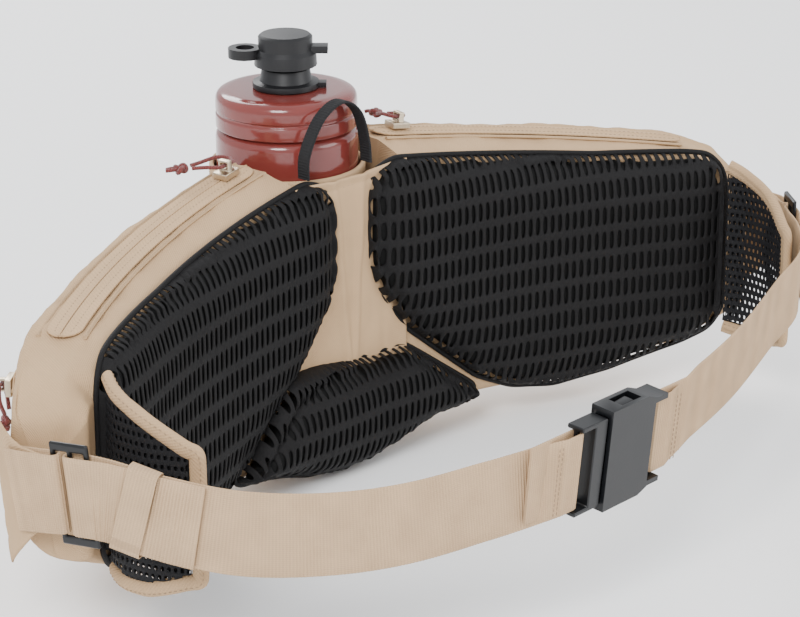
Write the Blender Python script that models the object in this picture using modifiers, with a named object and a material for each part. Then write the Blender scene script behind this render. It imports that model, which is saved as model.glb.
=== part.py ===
"""Waist pack: two zipped pockets beside a bottle sleeve, mesh pads towards the wearer, and a webbing belt.

Origin: the middle of the spine panel's top edge, on the pack's inner face. +Z is up, +Y points away from
the wearer, and left (-X) and right (+X) are as seen from the wearer's side of the pads.
Lengths are in millimetres until an object is made, when MM turns them into metres.
"""

import math

import bmesh
import bpy
from mathutils import Matrix, Vector

MM = 0.001
GAP = 0.4  # left between pieces that touch

# The pack wraps round an upright cylinder: u runs along it, t outwards from it, z up.
WRAP_R = 400.0
OUTER_R = 360.0  # plan radius of the pockets' outer face, which tapers them to their ends
OUTER_DEPTH = 57.0  # from the inner face to the outer face, at the middle
WALL = 2.2
PANEL_T = -2.5  # inner face of the fabric that the pads are sewn to

POCKET_U1 = 250.0
POCKET_STATIONS = (37.5, 60, 90, 120, 150, 180, 205, 222, 238, POCKET_U1)
POCKET_BOTTOM = [(37, -141), (150, -142), (215, -131), (250, -113)]

# Main zips: a level-chord arc of radius ZIP_R, tilted down towards the pocket's outer end.
ZIP_R = 418.0
ZIP_MID = (134.0, 0.5, -7.0)
ZIP_CHORD_DEG = -20.6
ZIP_TILT_DEG = 8.4
ZIP_HALF_DEG = 12.2
ZIP_SLOT = 8.0
SLOT_HALF_DEG = 10.8
ZIP_TAPE = 17.0

# Front zip: a level arc on the left pocket's outer face.
FRONT_Z = -45.0
FRONT_FROM_DEG = -39.0
FRONT_TO_DEG = -14.0
FRONT_TAPE = 15.0
TAPE_T = 1.2
TAPE_LIFT = 0.7  # gap between the pocket and the tape over its slot

# Zip cords, in each slider's frame: along the zip, across it and out from the fabric
CORD_R = 1.0
KNOT_R = 4.2
LEFT_CORD = [(11, -12, 6.5), (8, -6, 7), (4, -1, 6.4), (0, 0, 6.2), (-4, 1, 6.4), (-7, -3, 6.8), (-4, -9, 7),
             (4, -13, 6.5), (8.5, -15, 6.5)]
LEFT_KNOT = (14, -17, 6.5)
RIGHT_CORD = [(2.5, 13, 4.5), (5.5, 7, 6), (4, 1, 6.4), (0, 0, 6.2), (-4, 0, 6.4), (-6.5, 6, 6.4),
              (-4, 13, 4.5)]
RIGHT_KNOT = (-0.8, 18.5, 3.5)
FRONT_CORD = [(2.5, 13, 4), (5.5, 7, 5.4), (4, 1, 6.4), (0, 0, 6.2), (-4, 0, 6.4), (-6.5, 6, 5.8),
              (-4, 13, 4.5)]
FRONT_KNOT = (-0.8, 18.5, 5.2)

# Pad outlines as (u, z)
PAD_TOP = [(14, -14), (19, -4), (32, 0), (88, -8), (158, -18), (212, -22), (226, -24), (233, -31), (236, -40)]
PAD_BOTTOM = [(14, -50), (20, -65), (42, -92), (88, -129), (110, -139), (137, -143), (170, -139), (214, -128),
              (229, -122), (236, -112)]
LUMBAR_TOP = [(-86, -137), (-70, -121), (-50, -104), (-27, -99), (14, -104), (37, -103), (50, -112),
              (83, -138)]
LUMBAR_BOTTOM = [(-86, -140), (-71, -142), (-50, -147), (-32, -153), (-4, -157), (24, -152), (50, -144),
                 (83, -140.5)]
PAD_DEPTH = 10.0
PAD_STEPS = 22
LUMBAR_DEPTH = 17.0
SPINE_HALF_U = 37.0
SPINE_BOTTOM = -156.0

BOTTLE_XY = (0.0, 40.5)
BOTTLE_R = 36.4
BOTTLE_BASE = -141.0
LID_BASE = 17.2
LID_TOP = 35.4
SLEEVE_IN = 37.3
SLEEVE_OUT = 39.8
SLEEVE_BASE = -143.9
SLEEVE_TOP = -2.0
CAP_TOP = 64.2
CAP_TURN_DEG = -46.0  # the cap's tab and the valve's lever point this way, its loop the other way

GRAB_ARCH = [(-28, 2.4), (-27, 15), (-17, 31), (-3, 37.5), (9, 30), (14.5, 14), (15.5, 2.4)]
GRAB_Y = -1.2
GRAB_WIDTH = 8.0

# Hip flaps, in plan, and their heights at the root and at the tip
FLAP_PLAN = [(218.5, -75.5), (222, -86), (220, -103), (211, -120)]
FLAP_TOP = [-33.0, -38.0, -46.0, -58.0]
FLAP_BOTTOM = [-117.0, -119.0, -118.0, -112.0]
FLAP_T = 5.0
BINDING_R = 3.4

WEB_W = 38.0
WEB_T = 1.6
WEB_OFFSET = 2.6  # webbing centre to the middle of a tri-glide or a buckle bar
# Belt centreline: x, y, z and how far its top leans outwards, in degrees
BELT = [
    (-252, -40, -80, 0), (-257.8, -62, -74, 2), (-252, -92, -70, 4), (-244, -110, -71, 2),
    (-236, -126, -75, -3), (-217, -155, -80, -7), (-191, -181, -81, -3), (-160, -200, -80, -1),
    (-121, -213, -77, 0), (-76, -220, -74, 2), (-42, -221.5, -73, 6), (-8, -216.5, -74, 6),
    (31, -205, -76, 6), (91, -184, -78, 5), (155, -158, -77, 4), (204, -138, -75, 2),
    (246, -97, -72, 0), (258, -69, -73, 0), (252, -40, -79, 0),
]
LEFT_GLIDE = 2  # the belt points where the tri-glides and the buckle's middle sit
BUCKLE = 10
RIGHT_GLIDE = 16
TAIL_LEFT = 58.0
TAIL_RIGHT = 50.0
KEEPER = (22.0, 36.0)
BELT_STEPS = 6
MAIN_STEPS = 30
SEWN_END = 28.0
GLIDE_HEIGHT = 49.0
LEFT_BAR = -35.9  # the buckle's two webbing bars, along the belt from the buckle's middle
RIGHT_BAR = 21.9
PRONG_ROOT = (-19.1, 15.0)

COLOURS = {
    "shell_fabric": ((0.60, 0.46, 0.31), 0.85, 0.0),
    "spacer_mesh": ((0.012, 0.012, 0.013), 0.80, 0.0),
    "flap_mesh": ((0.010, 0.010, 0.011), 0.85, 0.0),
    "webbing": ((0.58, 0.45, 0.31), 0.80, 0.0),
    "zip_tape": ((0.58, 0.46, 0.33), 0.75, 0.0),
    "slider_metal": ((0.62, 0.53, 0.40), 0.35, 1.0),
    "pull_cord": ((0.19, 0.028, 0.022), 0.75, 0.0),
    "buckle_plastic": ((0.012, 0.012, 0.013), 0.38, 0.0),
    "bottle_plastic": ((0.38, 0.075, 0.058), 0.15, 0.0),
    "valve_rubber": ((0.013, 0.013, 0.014), 0.45, 0.0),
    "loop_webbing": ((0.014, 0.014, 0.015), 0.75, 0.0),
    "gasket_rubber": ((0.55, 0.55, 0.55), 0.60, 0.0),
}


def clear_scene():
    for obj in list(bpy.data.objects):
        bpy.data.objects.remove(obj, do_unlink=True)


def collection(name, hidden=False):
    group = bpy.data.collections.new(name)
    group.hide_render = hidden
    bpy.context.scene.collection.children.link(group)
    return group


def material(name):
    found = bpy.data.materials.get(name)
    if found:
        return found
    colour, roughness, metallic = COLOURS[name]
    made = bpy.data.materials.new(name)
    made.use_nodes = True
    shader = made.node_tree.nodes["Principled BSDF"]
    shader.inputs["Base Color"].default_value = (*colour, 1.0)
    shader.inputs["Roughness"].default_value = roughness
    shader.inputs["Metallic"].default_value = metallic
    return made


def object_of(name, data, slot, group):
    obj = bpy.data.objects.new(name, data)
    group.objects.link(obj)
    if slot:
        data.materials.append(material(slot))
    return obj


def mesh_object(name, bm, slot, smooth_deg=0.0):
    """The bmesh, in millimetres, as an object in metres."""
    bmesh.ops.remove_doubles(bm, verts=bm.verts, dist=0.001)
    bmesh.ops.recalc_face_normals(bm, faces=bm.faces)
    bmesh.ops.scale(bm, verts=bm.verts, vec=(MM, MM, MM))
    mesh = bpy.data.meshes.new(name)
    bm.to_mesh(mesh)
    bm.free()
    if smooth_deg:
        mesh.shade_smooth()
        mesh.set_sharp_from_angle(angle=math.radians(smooth_deg))
    return object_of(name, mesh, slot, PARTS)


def cutter_of(obj):
    obj.hide_render = True
    obj.display_type = "WIRE"
    for group in list(obj.users_collection):
        group.objects.unlink(obj)
    CUTTERS.objects.link(obj)
    return obj


def cut(obj, cutter):
    modifier = obj.modifiers.new("cut_" + cutter.name, "BOOLEAN")
    modifier.operation = "DIFFERENCE"
    modifier.object = cutter


def join(obj, other):
    modifier = obj.modifiers.new("join_" + other.name, "BOOLEAN")
    modifier.operation = "UNION"
    modifier.object = other


def between(points, x):
    """The height of the line through (x, y) points at x."""
    if x <= points[0][0]:
        return points[0][1]
    for (x0, y0), (x1, y1) in zip(points, points[1:]):
        if x <= x1:
            return y0 + (y1 - y0) * (x - x0) / (x1 - x0)
    return points[-1][1]


def smooth_curve(points, steps):
    """A Catmull-Rom curve through points of any dimension, with steps samples from each to the next."""
    samples = []
    last = len(points) - 1
    for i in range(last):
        before, start, end, after = (points[min(max(j, 0), last)] for j in (i - 1, i, i + 1, i + 2))
        for k in range(steps):
            f = k / steps
            samples.append(tuple(
                0.5 * (2 * b + (c - a) * f + (2 * a - 5 * b + 4 * c - d) * f * f
                       + (3 * b - a - 3 * c + d) * f ** 3)
                for a, b, c, d in zip(before, start, end, after)))
    samples.append(tuple(float(v) for v in points[-1]))
    return samples


def wrap(u, t, z):
    angle = u / WRAP_R
    radius = WRAP_R + t
    return Vector((radius * math.sin(angle), radius * math.cos(angle) - WRAP_R, z))


def loft(name, rings, slot, smooth_deg=0.0, closed=False):
    """A skin over equal rings of points, with flat ends unless it closes on itself."""
    bm = bmesh.new()
    rows = [[bm.verts.new(p) for p in ring] for ring in rings]
    pairs = list(zip(rows, rows[1:]))
    if closed:
        pairs.append((rows[-1], rows[0]))
    for a, b in pairs:
        for i in range(len(a)):
            j = (i + 1) % len(a)
            bm.faces.new((a[i], a[j], b[j], b[i]))
    if not closed:
        bm.faces.new(rows[0])
        bm.faces.new(list(reversed(rows[-1])))
    return mesh_object(name, bm, slot, smooth_deg)


def box(name, low, high, frame, slot):
    bm = bmesh.new()
    bmesh.ops.create_cube(bm, size=1.0)
    size = Vector(high) - Vector(low)
    centre = (Vector(high) + Vector(low)) / 2
    bmesh.ops.scale(bm, verts=bm.verts, vec=size)
    bmesh.ops.translate(bm, verts=bm.verts, vec=centre)
    bmesh.ops.transform(bm, matrix=frame, verts=bm.verts)
    return mesh_object(name, bm, slot)


def plate(name, outline, low, high, frame, slot):
    """A flat outline in the frame's X-Z plane, made thick along its Y from low to high."""
    bm = bmesh.new()
    face = bm.faces.new([bm.verts.new((x, low, z)) for x, z in outline])
    raised = bmesh.ops.extrude_face_region(bm, geom=[face])
    verts = [v for v in raised["geom"] if isinstance(v, bmesh.types.BMVert)]
    bmesh.ops.translate(bm, verts=verts, vec=(0, high - low, 0))
    bmesh.ops.transform(bm, matrix=frame, verts=bm.verts)
    return mesh_object(name, bm, slot)


def turned(name, profile, centre, slot, steps=32, closed=False):
    """A profile of (radius, height) turned about an upright axis; it runs down the outer side."""
    bm = bmesh.new()
    verts = [bm.verts.new((r * MM, 0, z * MM)) for r, z in profile]
    ends = zip(verts, verts[1:] + verts[:1]) if closed else zip(verts, verts[1:])
    for a, b in ends:
        bm.edges.new((a, b))
    mesh = bpy.data.meshes.new(name)
    bm.to_mesh(mesh)
    bm.free()
    obj = object_of(name, mesh, slot, PARTS)
    obj.location = (centre[0] * MM, centre[1] * MM, 0)
    screw = obj.modifiers.new("turn", "SCREW")
    screw.steps = steps
    screw.render_steps = steps
    screw.use_merge_vertices = True
    screw.merge_threshold = 0.00001
    return obj


def tube(name, points, radius, slot, cyclic=False, sides=2):
    curve = bpy.data.curves.new(name, "CURVE")
    curve.dimensions = "3D"
    curve.bevel_depth = radius * MM
    curve.bevel_resolution = sides
    curve.use_fill_caps = not cyclic
    spline = curve.splines.new("POLY")
    spline.points.add(len(points) - 1)
    for point, place in zip(spline.points, points):
        point.co = (*(Vector(place[:3]) * MM), 1.0)
    spline.use_cyclic_u = cyclic
    return object_of(name, curve, slot, PARTS)


# ---------------------------------------------------------------- zips


def zip_frame(side):
    """Centre, radial direction at mid arc and forward direction of a main zip's arc."""
    chord = math.radians(ZIP_CHORD_DEG)
    tilt = math.radians(ZIP_TILT_DEG)
    radial = Vector((-math.sin(chord) * side, math.cos(chord), 0))
    level = Vector((math.cos(chord) * side, math.sin(chord), 0))
    forward = level * math.cos(tilt) - Vector((0, 0, math.sin(tilt)))
    middle = Vector((ZIP_MID[0] * side, ZIP_MID[1], ZIP_MID[2]))
    return middle - radial * ZIP_R, radial, forward


def front_zip_frame():
    """The front zip's arc is level and centred on the outer face's own axis."""
    centre = Vector((0, OUTER_DEPTH - OUTER_R, FRONT_Z))
    return centre, Vector((0, 1, 0)), Vector((1, 0, 0))


def arc_point(frame, radius, degrees, offset=0.0):
    """A point on a zip's arc, moved by offset along the arc's own axis."""
    centre, radial, forward = frame
    a = math.radians(degrees)
    axis = radial.cross(forward).normalized()
    return centre + (radial * math.cos(a) + forward * math.sin(a)) * radius + axis * offset


def lift_sign(frame):
    """+1 where the arc's axis points up, so that offsets go upwards on both sides of the pack."""
    _, radial, forward = frame
    return 1.0 if radial.cross(forward).z > 0 else -1.0


def main_tape(name, side):
    """A flat tape over the slot, lying in the zip's own plane."""
    frame = zip_frame(side)
    up = lift_sign(frame)
    rings = []
    for k in range(21):
        angle = -ZIP_HALF_DEG - 0.8 + k * (2 * ZIP_HALF_DEG + 1.6) / 20
        rings.append([
            arc_point(frame, ZIP_R + w, angle, up * h)
            for w, h in ((-ZIP_TAPE / 2, TAPE_LIFT), (ZIP_TAPE / 2, TAPE_LIFT),
                         (ZIP_TAPE / 2, TAPE_LIFT + TAPE_T), (-ZIP_TAPE / 2, TAPE_LIFT + TAPE_T))])
    return loft(name, rings, "zip_tape")


def front_tape():
    """A tape standing upright on the left pocket's outer face."""
    frame = front_zip_frame()
    rings = []
    for k in range(15):
        angle = FRONT_FROM_DEG - 1.5 + k * (FRONT_TO_DEG - FRONT_FROM_DEG + 3.0) / 14
        rings.append([
            arc_point(frame, OUTER_R + h, angle, w)
            for w, h in ((-FRONT_TAPE / 2, TAPE_LIFT), (FRONT_TAPE / 2, TAPE_LIFT),
                         (FRONT_TAPE / 2, TAPE_LIFT + TAPE_T), (-FRONT_TAPE / 2, TAPE_LIFT + TAPE_T))])
    return loft("front_zip_tape", rings, "zip_tape")


def main_zip(side):
    """Frame, radius, start angle and fabric-to-axis offset of a main zip's slider."""
    frame = zip_frame(side)
    return frame, ZIP_R, -ZIP_HALF_DEG + 1.5, lift_sign(frame) * (TAPE_LIFT + TAPE_T), lift_sign(frame)


def slider(prefix, place, along, out, cord, knot):
    """A slider with its bail, and a cord through the bail, tied in a knot.

    place is on the tape, along points down the zip and out away from the fabric. The cord's points and
    the knot's place are in that frame: along, across and out.
    """
    across = out.cross(along)
    frame = Matrix((along, across, out)).transposed().to_4x4()
    frame.translation = place
    body = box(prefix + "_zip_slider", (-5.5, -4.2, GAP), (5.5, 4.2, 3.6), frame, "slider_metal")
    join(body, cutter_of(box(prefix + "_bail", (-1.5, -3.2, 3.0), (1.5, 3.2, 9.0), frame, None)))
    cut(body, cutter_of(box(prefix + "_eye", (-5.0, -1.9, 4.7), (5.0, 1.9, 7.7), frame, None)))
    route = [frame @ Vector(p) for p in smooth_curve(cord, 4)]
    loop = tube(prefix + "_zip_cord", route, CORD_R, "pull_cord")
    bm = bmesh.new()
    bmesh.ops.create_icosphere(bm, subdivisions=1, radius=KNOT_R)
    bmesh.ops.translate(bm, verts=bm.verts, vec=frame @ Vector(knot))
    tied = mesh_object(prefix + "_zip_knot", bm, "pull_cord", 60)
    return [body, loop, tied]


def make_zips():
    pulls = (("left", -1, LEFT_CORD, LEFT_KNOT), ("right", 1, RIGHT_CORD, RIGHT_KNOT))
    for prefix, side, cord, knot in pulls:
        main_tape(prefix + "_zip_tape", side)
        frame, radius, angle, lift, up = main_zip(side)
        place = arc_point(frame, radius, angle, lift)
        ahead = arc_point(frame, radius, angle + 0.01, lift)
        axis = frame[1].cross(frame[2]).normalized()
        pieces = slider(prefix, place, (ahead - place).normalized(), axis * up, cord, knot)
        hang(pieces, prefix + "_zip_axis", frame[0])
    front_tape()
    frame = front_zip_frame()
    place = arc_point(frame, OUTER_R + TAPE_LIFT + TAPE_T, FRONT_FROM_DEG)
    ahead = arc_point(frame, OUTER_R + TAPE_LIFT + TAPE_T, FRONT_FROM_DEG + 0.01)
    out = (place - frame[0]).normalized()
    pieces = slider("front", place, (ahead - place).normalized(), out, FRONT_CORD, FRONT_KNOT)
    hang(pieces, "front_zip_axis", frame[0])


def hang(pieces, name, point):
    """Parents the pieces to an empty on their joint's axis, without moving them."""
    empty = bpy.data.objects.new(name, None)
    PARTS.objects.link(empty)
    empty.location = Vector(point) * MM
    for piece in pieces:
        piece.parent = empty
        piece.location = piece.location - empty.location


# ---------------------------------------------------------------- pockets, panel and pads


def outer_t(u):
    """How far the outer face lies from the inner one, along the wrap's own radius."""
    shift = OUTER_DEPTH - OUTER_R + WRAP_R
    a = u / WRAP_R
    return shift * math.cos(a) + math.sqrt(OUTER_R ** 2 - (shift * math.sin(a)) ** 2) - WRAP_R


def zip_heights(side):
    """(u, t, z) along a main zip, going on past its arc to the pocket's end."""
    frame = zip_frame(side)
    rows = []
    for k in range(13):
        point = arc_point(frame, ZIP_R, -ZIP_HALF_DEG + k * ZIP_HALF_DEG / 6)
        radius = math.hypot(point.x, point.y + WRAP_R)
        rows.append((WRAP_R * math.atan2(abs(point.x), point.y + WRAP_R), radius - WRAP_R, point.z))
    return rows + [(240.0, rows[-1][1], -31.0), (POCKET_U1, rows[-1][1] - 1, -43.0)]


def pocket(name, side):
    zip_line = zip_heights(side)
    rings = []
    for u in POCKET_STATIONS:
        tz = between([(a, t) for a, t, _ in zip_line], u)
        zz = between([(a, z) for a, _, z in zip_line], u)
        zb = between(POCKET_BOTTOM, u)
        zi = min(between(PAD_TOP, u) + 1.5, zz - 1.0)
        out = outer_t(u)
        section = [
            (PANEL_T, zb + 1), (PANEL_T, zi), (tz - 9.5, zz), (tz + 9.5, zz - 0.3), (tz + 14, zz - 3),
            (out - 2, zz - 18), (out, (zz + zb) / 2), (out - 4, zb + 15), (out - 14, zb + 2), (8, zb)]
        rings.append([wrap(side * u, t, z) for t, z in section])
    shell = loft(name, rings, "shell_fabric", 35)
    wall = shell.modifiers.new("wall", "SOLIDIFY")
    wall.thickness = WALL * MM
    wall.offset = -1.0
    wall.use_even_offset = True
    frame = zip_frame(side)
    up = lift_sign(frame)
    slot = []
    for k in range(13):
        angle = -SLOT_HALF_DEG + k * SLOT_HALF_DEG / 6
        corners = ((-ZIP_SLOT / 2, -9), (ZIP_SLOT / 2, -9), (ZIP_SLOT / 2, 4), (-ZIP_SLOT / 2, 4))
        slot.append([arc_point(frame, ZIP_R + w, angle, up * h) for w, h in corners])
    cut(shell, cutter_of(loft(name + "_slot", slot, None)))


def spine_panel():
    rings = []
    for k in range(9):
        u = -SPINE_HALF_U + k * SPINE_HALF_U / 4
        zb = SPINE_BOTTOM + 15 * (u / SPINE_HALF_U) ** 2
        rings.append([wrap(u, t, z) for t, z in ((PANEL_T, zb), (PANEL_T, -1), (-0.4, -1), (-0.4, zb))])
    loft("spine_panel", rings, "shell_fabric")


def pad(name, top, bottom, depth, mirror=1, back=0.0):
    """A crowned cushion between two outlines, whose flat back lies on the panel."""
    u0, u1 = top[0][0], top[-1][0]
    rings = []
    for k in range(PAD_STEPS + 1):
        u = u0 + (u1 - u0) * k / PAD_STEPS
        zt, zb = between(top, u), between(bottom, u)
        edge = min(1.0, 0.35 + min(u - u0, u1 - u) / 18.0)
        d = depth * edge
        inset = min(7.0, (zt - zb) * 0.3)
        t0 = PANEL_T - GAP - back
        rings.append([wrap(mirror * u, t, z) for t, z in (
            (t0, zb), (t0, zt), (t0 - 0.55 * d, zt - 0.15 * inset), (t0 - d, zt - inset),
            (t0 - d, zb + inset), (t0 - 0.55 * d, zb + 0.15 * inset))])
    return loft(name, rings, "spacer_mesh", 50)


# ---------------------------------------------------------------- hip flaps


def flap_edge(side, gap):
    """The flap's outline from root to tip along the top and back along the bottom, grown by gap."""
    plan = smooth_curve(FLAP_PLAN, 4)
    top = smooth_curve([(z,) for z in FLAP_TOP], 4)
    low = smooth_curve([(z,) for z in FLAP_BOTTOM], 4)
    over = [(x * side, y, z[0] + gap) for (x, y), z in zip(plan, top)]
    under = [(x * side, y, z[0] - gap) for (x, y), z in zip(plan, low)]
    tip = Vector(plan[-1]) + (Vector(plan[-1]) - Vector(plan[-2])).normalized() * gap
    ends = [(tip.x * side, tip.y, over[-1][2]), (tip.x * side, tip.y, under[-1][2])]
    return over + ends + list(reversed(under))


def hip_flap(prefix, side):
    plan = smooth_curve(FLAP_PLAN, 4)
    top = smooth_curve([(z,) for z in FLAP_TOP], 4)
    low = smooth_curve([(z,) for z in FLAP_BOTTOM], 4)
    rings = []
    for k, (x, y) in enumerate(plan):
        a, b = plan[max(k - 1, 0)], plan[min(k + 1, len(plan) - 1)]
        normal = Vector((b[1] - a[1], a[0] - b[0])).normalized() * FLAP_T / 2
        z1, z0 = top[k][0], low[k][0]
        rings.append([
            ((x + normal.x * s) * side, y + normal.y * s, z)
            for s, z in ((1, z0), (1, z1), (-1, z1), (-1, z0))])
    loft(prefix + "_hip_flap", rings, "flap_mesh", 40)
    tube(prefix + "_flap_binding", flap_edge(side, BINDING_R + GAP), BINDING_R, "shell_fabric")


# ---------------------------------------------------------------- belt


def belt_samples():
    """Centreline samples with their distance along the belt."""
    rows = []
    distance = 0.0
    before = None
    for x, y, z, lean in smooth_curve(BELT, BELT_STEPS):
        point = Vector((x, y, z))
        if before is not None:
            distance += (point - before).length
        rows.append((distance, x, y, z, lean))
        before = point
    return rows


def belt_frame(s):
    """The belt's frame at a distance along it: X along, Y towards the wearer, Z up the webbing."""
    x, y, z, lean = (between([(row[0], row[k]) for row in BELT_ROWS], s) for k in (1, 2, 3, 4))
    reach = 3.0
    ahead = [between([(row[0], row[k]) for row in BELT_ROWS], s + reach) for k in (1, 2, 3)]
    behind = [between([(row[0], row[k]) for row in BELT_ROWS], s - reach) for k in (1, 2, 3)]
    along = (Vector(ahead) - Vector(behind)).normalized()
    inward = Vector((0, 0, 1)).cross(along).normalized()
    up = along.cross(inward).normalized()
    angle = math.radians(lean)
    leaning = up * math.cos(angle) - inward * math.sin(angle)
    frame = Matrix((along, leaning.cross(along), leaning)).transposed().to_4x4()
    frame.translation = (x, y, z)
    return frame


def ribbon(name, stations, width, thickness, slot):
    """Webbing through (frame, along, inward) stations, its width along each frame's Z."""
    centres = [frame @ Vector((a, b, 0)) for frame, a, b in stations]
    ups = [frame.to_3x3() @ Vector((0, 0, 1)) for frame, _, _ in stations]
    rings = []
    last = len(centres) - 1
    for k, (centre, up) in enumerate(zip(centres, ups)):
        along = centres[min(k + 1, last)] - centres[max(k - 1, 0)]
        side = along.cross(up).normalized() * thickness / 2
        high = up * width / 2
        rings.append([centre + side - high, centre + side + high, centre - side + high, centre - side - high])
    return loft(name, rings, slot, 30)


def turn_round(frame, bar_x, towards):
    """Webbing round a bar at bar_x, from its inner side to its outer side, bulging towards -1 or +1."""
    rows = []
    for k in range(9):
        a = math.pi / 2 - k * math.pi / 8
        rows.append((frame, bar_x + towards * WEB_OFFSET * math.cos(a), WEB_OFFSET * math.sin(a)))
    return rows


def strap(name, glide_s, towards_buckle, bar_x, tail, buckle_s):
    """A length of webbing: sewn end, round the buckle's bar, along the belt, through the tri-glide, and tail."""
    e = towards_buckle
    buckle = belt_frame(buckle_s)
    glide = belt_frame(glide_s)
    length = abs(buckle_s - glide_s)
    rows = [(buckle, bar_x - e * SEWN_END, WEB_OFFSET), (buckle, bar_x - e * 9, WEB_OFFSET)]
    rows += turn_round(buckle, bar_x, e)
    rows.append((buckle, bar_x - e * 9, -WEB_OFFSET))
    run_from = length - abs(bar_x) - 20
    drift = [(0, WEB_OFFSET), (10, WEB_OFFSET), (22, 1.3), (tail + 12, 1.3), (run_from - 30, 0),
             (run_from, -WEB_OFFSET)]
    for k in range(MAIN_STEPS + 1):
        q = run_from + (10 - run_from) * k / MAIN_STEPS
        rows.append((belt_frame(glide_s + e * q), 0, between(drift, q)))
    rows += turn_round(glide, 0, -e)
    rows.append((glide, e * 8.6, -WEB_OFFSET))
    for q in (16, 24, 34, 46, tail):
        if q <= tail:
            rows.append((belt_frame(glide_s + e * q), 0, between([(10, -WEB_OFFSET), (22, -1.3)], q)))
    return ribbon(name, rows, WEB_W, WEB_T, "webbing")


def triglide(name, s):
    frame = belt_frame(s)
    half = GLIDE_HEIGHT / 2
    body = box(name, (-9.7, -1.1, -half), (9.7, 1.1, half), frame, "buckle_plastic")
    for k, low in enumerate((-7.5, 1.1)):
        hole = box(f"{name}_slot_{k}", (low, -4, 4.2 - half), (low + 6.4, 4, half - 4.2), frame, None)
        cut(body, cutter_of(hole))


def anchor(prefix, glide_s, towards_buckle):
    """The webbing loop that holds a tri-glide, and the canvas panel sewn between its two layers."""
    e = towards_buckle
    glide = belt_frame(glide_s)
    away = [34, 26, 18]
    rows = [(belt_frame(glide_s - e * q), 0, WEB_OFFSET) for q in away]
    rows += turn_round(glide, -e * 8.6, e)
    rows += [(belt_frame(glide_s - e * q), 0, -WEB_OFFSET) for q in reversed(away)]
    ribbon(prefix + "_anchor_web", rows, WEB_W, WEB_T, "webbing")
    rings = []
    for q, half in ((14, 17), (26, 20), (40, 28), (52, 34)):
        frame = belt_frame(glide_s - e * q)
        corners = ((-0.6, -half), (-0.6, half), (0.6, half), (0.6, -half))
        rings.append([frame @ Vector((0, y, z)) for y, z in corners])
    loft(prefix + "_anchor_panel", rings, "shell_fabric")


def keeper(s):
    """An elastic band round the left strap and its tail."""
    middle = (KEEPER[0] + KEEPER[1]) / 2
    frame = belt_frame(s + middle)
    half = (KEEPER[1] - KEEPER[0]) / 2
    band = box("strap_keeper", (-half, -4.8, -22), (half, 4.8, 22), frame, "webbing")
    cut(band, cutter_of(box("keeper_inside", (-half - 3, -3.8, -20.8), (half + 3, 3.8, 20.8), frame, None)))


def buckle(s):
    """A side-release buckle: a female body open to the left, and a male base with two sprung prongs."""
    frame = belt_frame(s)
    outline = [(-18, -25), (8, -25), (15, -22.3), (23, -22.3), (23, 22.3), (15, 22.3), (8, 25), (-18, 25)]
    female = plate("buckle_female", outline, -6.2, 6.2, frame, "buckle_plastic")
    holes = {
        "cavity": ((-20, -4.0, -21.3), (11, 4.0, 21.3)),
        "windows": ((-9, -3.9, -30), (5, 3.9, 30)),
        "web_slot": ((14.2, -9, -19.7), (20.8, 9, 19.7)),
        "recess_in": ((19, 1.1, -19.7), (26, 9, 19.7)),
        "recess_out": ((19, -9, -19.7), (26, -1.1, 19.7)),
    }
    for key, (low, high) in holes.items():
        cut(female, cutter_of(box("female_" + key, low, high, frame, None)))
    male = box("buckle_male", (-37, -4.6, -22), (-19.5, 4.6, 22), frame, "buckle_plastic")
    join(male, cutter_of(box("male_guide", (-20, -2.6, -4.5), (4, 2.6, 4.5), frame, None)))
    slots = {
        "web_slot": ((-34.8, -9, -19.7), (-27.5, 9, 19.7)),
        "recess_in": ((-40, 1.1, -19.7), (-34, 9, 19.7)),
        "recess_out": ((-40, -9, -19.7), (-34, -1.1, 19.7)),
    }
    for key, (low, high) in slots.items():
        cut(male, cutter_of(box("male_" + key, low, high, frame, None)))
    hang([male], "buckle_slide_axis", frame.translation)
    for name, flip in (("upper", 1), ("lower", -1)):
        arm = [(-19.1, 12.5), (-19.1, 17.5), (-10, 19.5), (-7.5, 23.6), (1, 24.4), (4.3, 19.6), (9, 15.5),
               (9, 12), (0, 15)]
        outline = [(x, z * flip) for x, z in arm]
        prong = plate("buckle_prong_" + name, outline, -2.9, 2.9, frame, "buckle_plastic")
        root = frame @ Vector((PRONG_ROOT[0], 0, PRONG_ROOT[1] * flip))
        hang([prong], f"prong_{name}_axis", root)


def make_belt():
    left_s, buckle_s, right_s = (BELT_ROWS[k * BELT_STEPS][0] for k in (LEFT_GLIDE, BUCKLE, RIGHT_GLIDE))
    halves = (("left", left_s, 1, LEFT_BAR, TAIL_LEFT), ("right", right_s, -1, RIGHT_BAR, TAIL_RIGHT))
    for prefix, s, e, bar, tail in halves:
        triglide(prefix + "_triglide", s)
        anchor(prefix, s, e)
        strap(prefix + "_strap", s, e, bar, tail, buckle_s)
    keeper(left_s)
    buckle(buckle_s)


# ---------------------------------------------------------------- bottle, sleeve and grab loop


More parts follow.
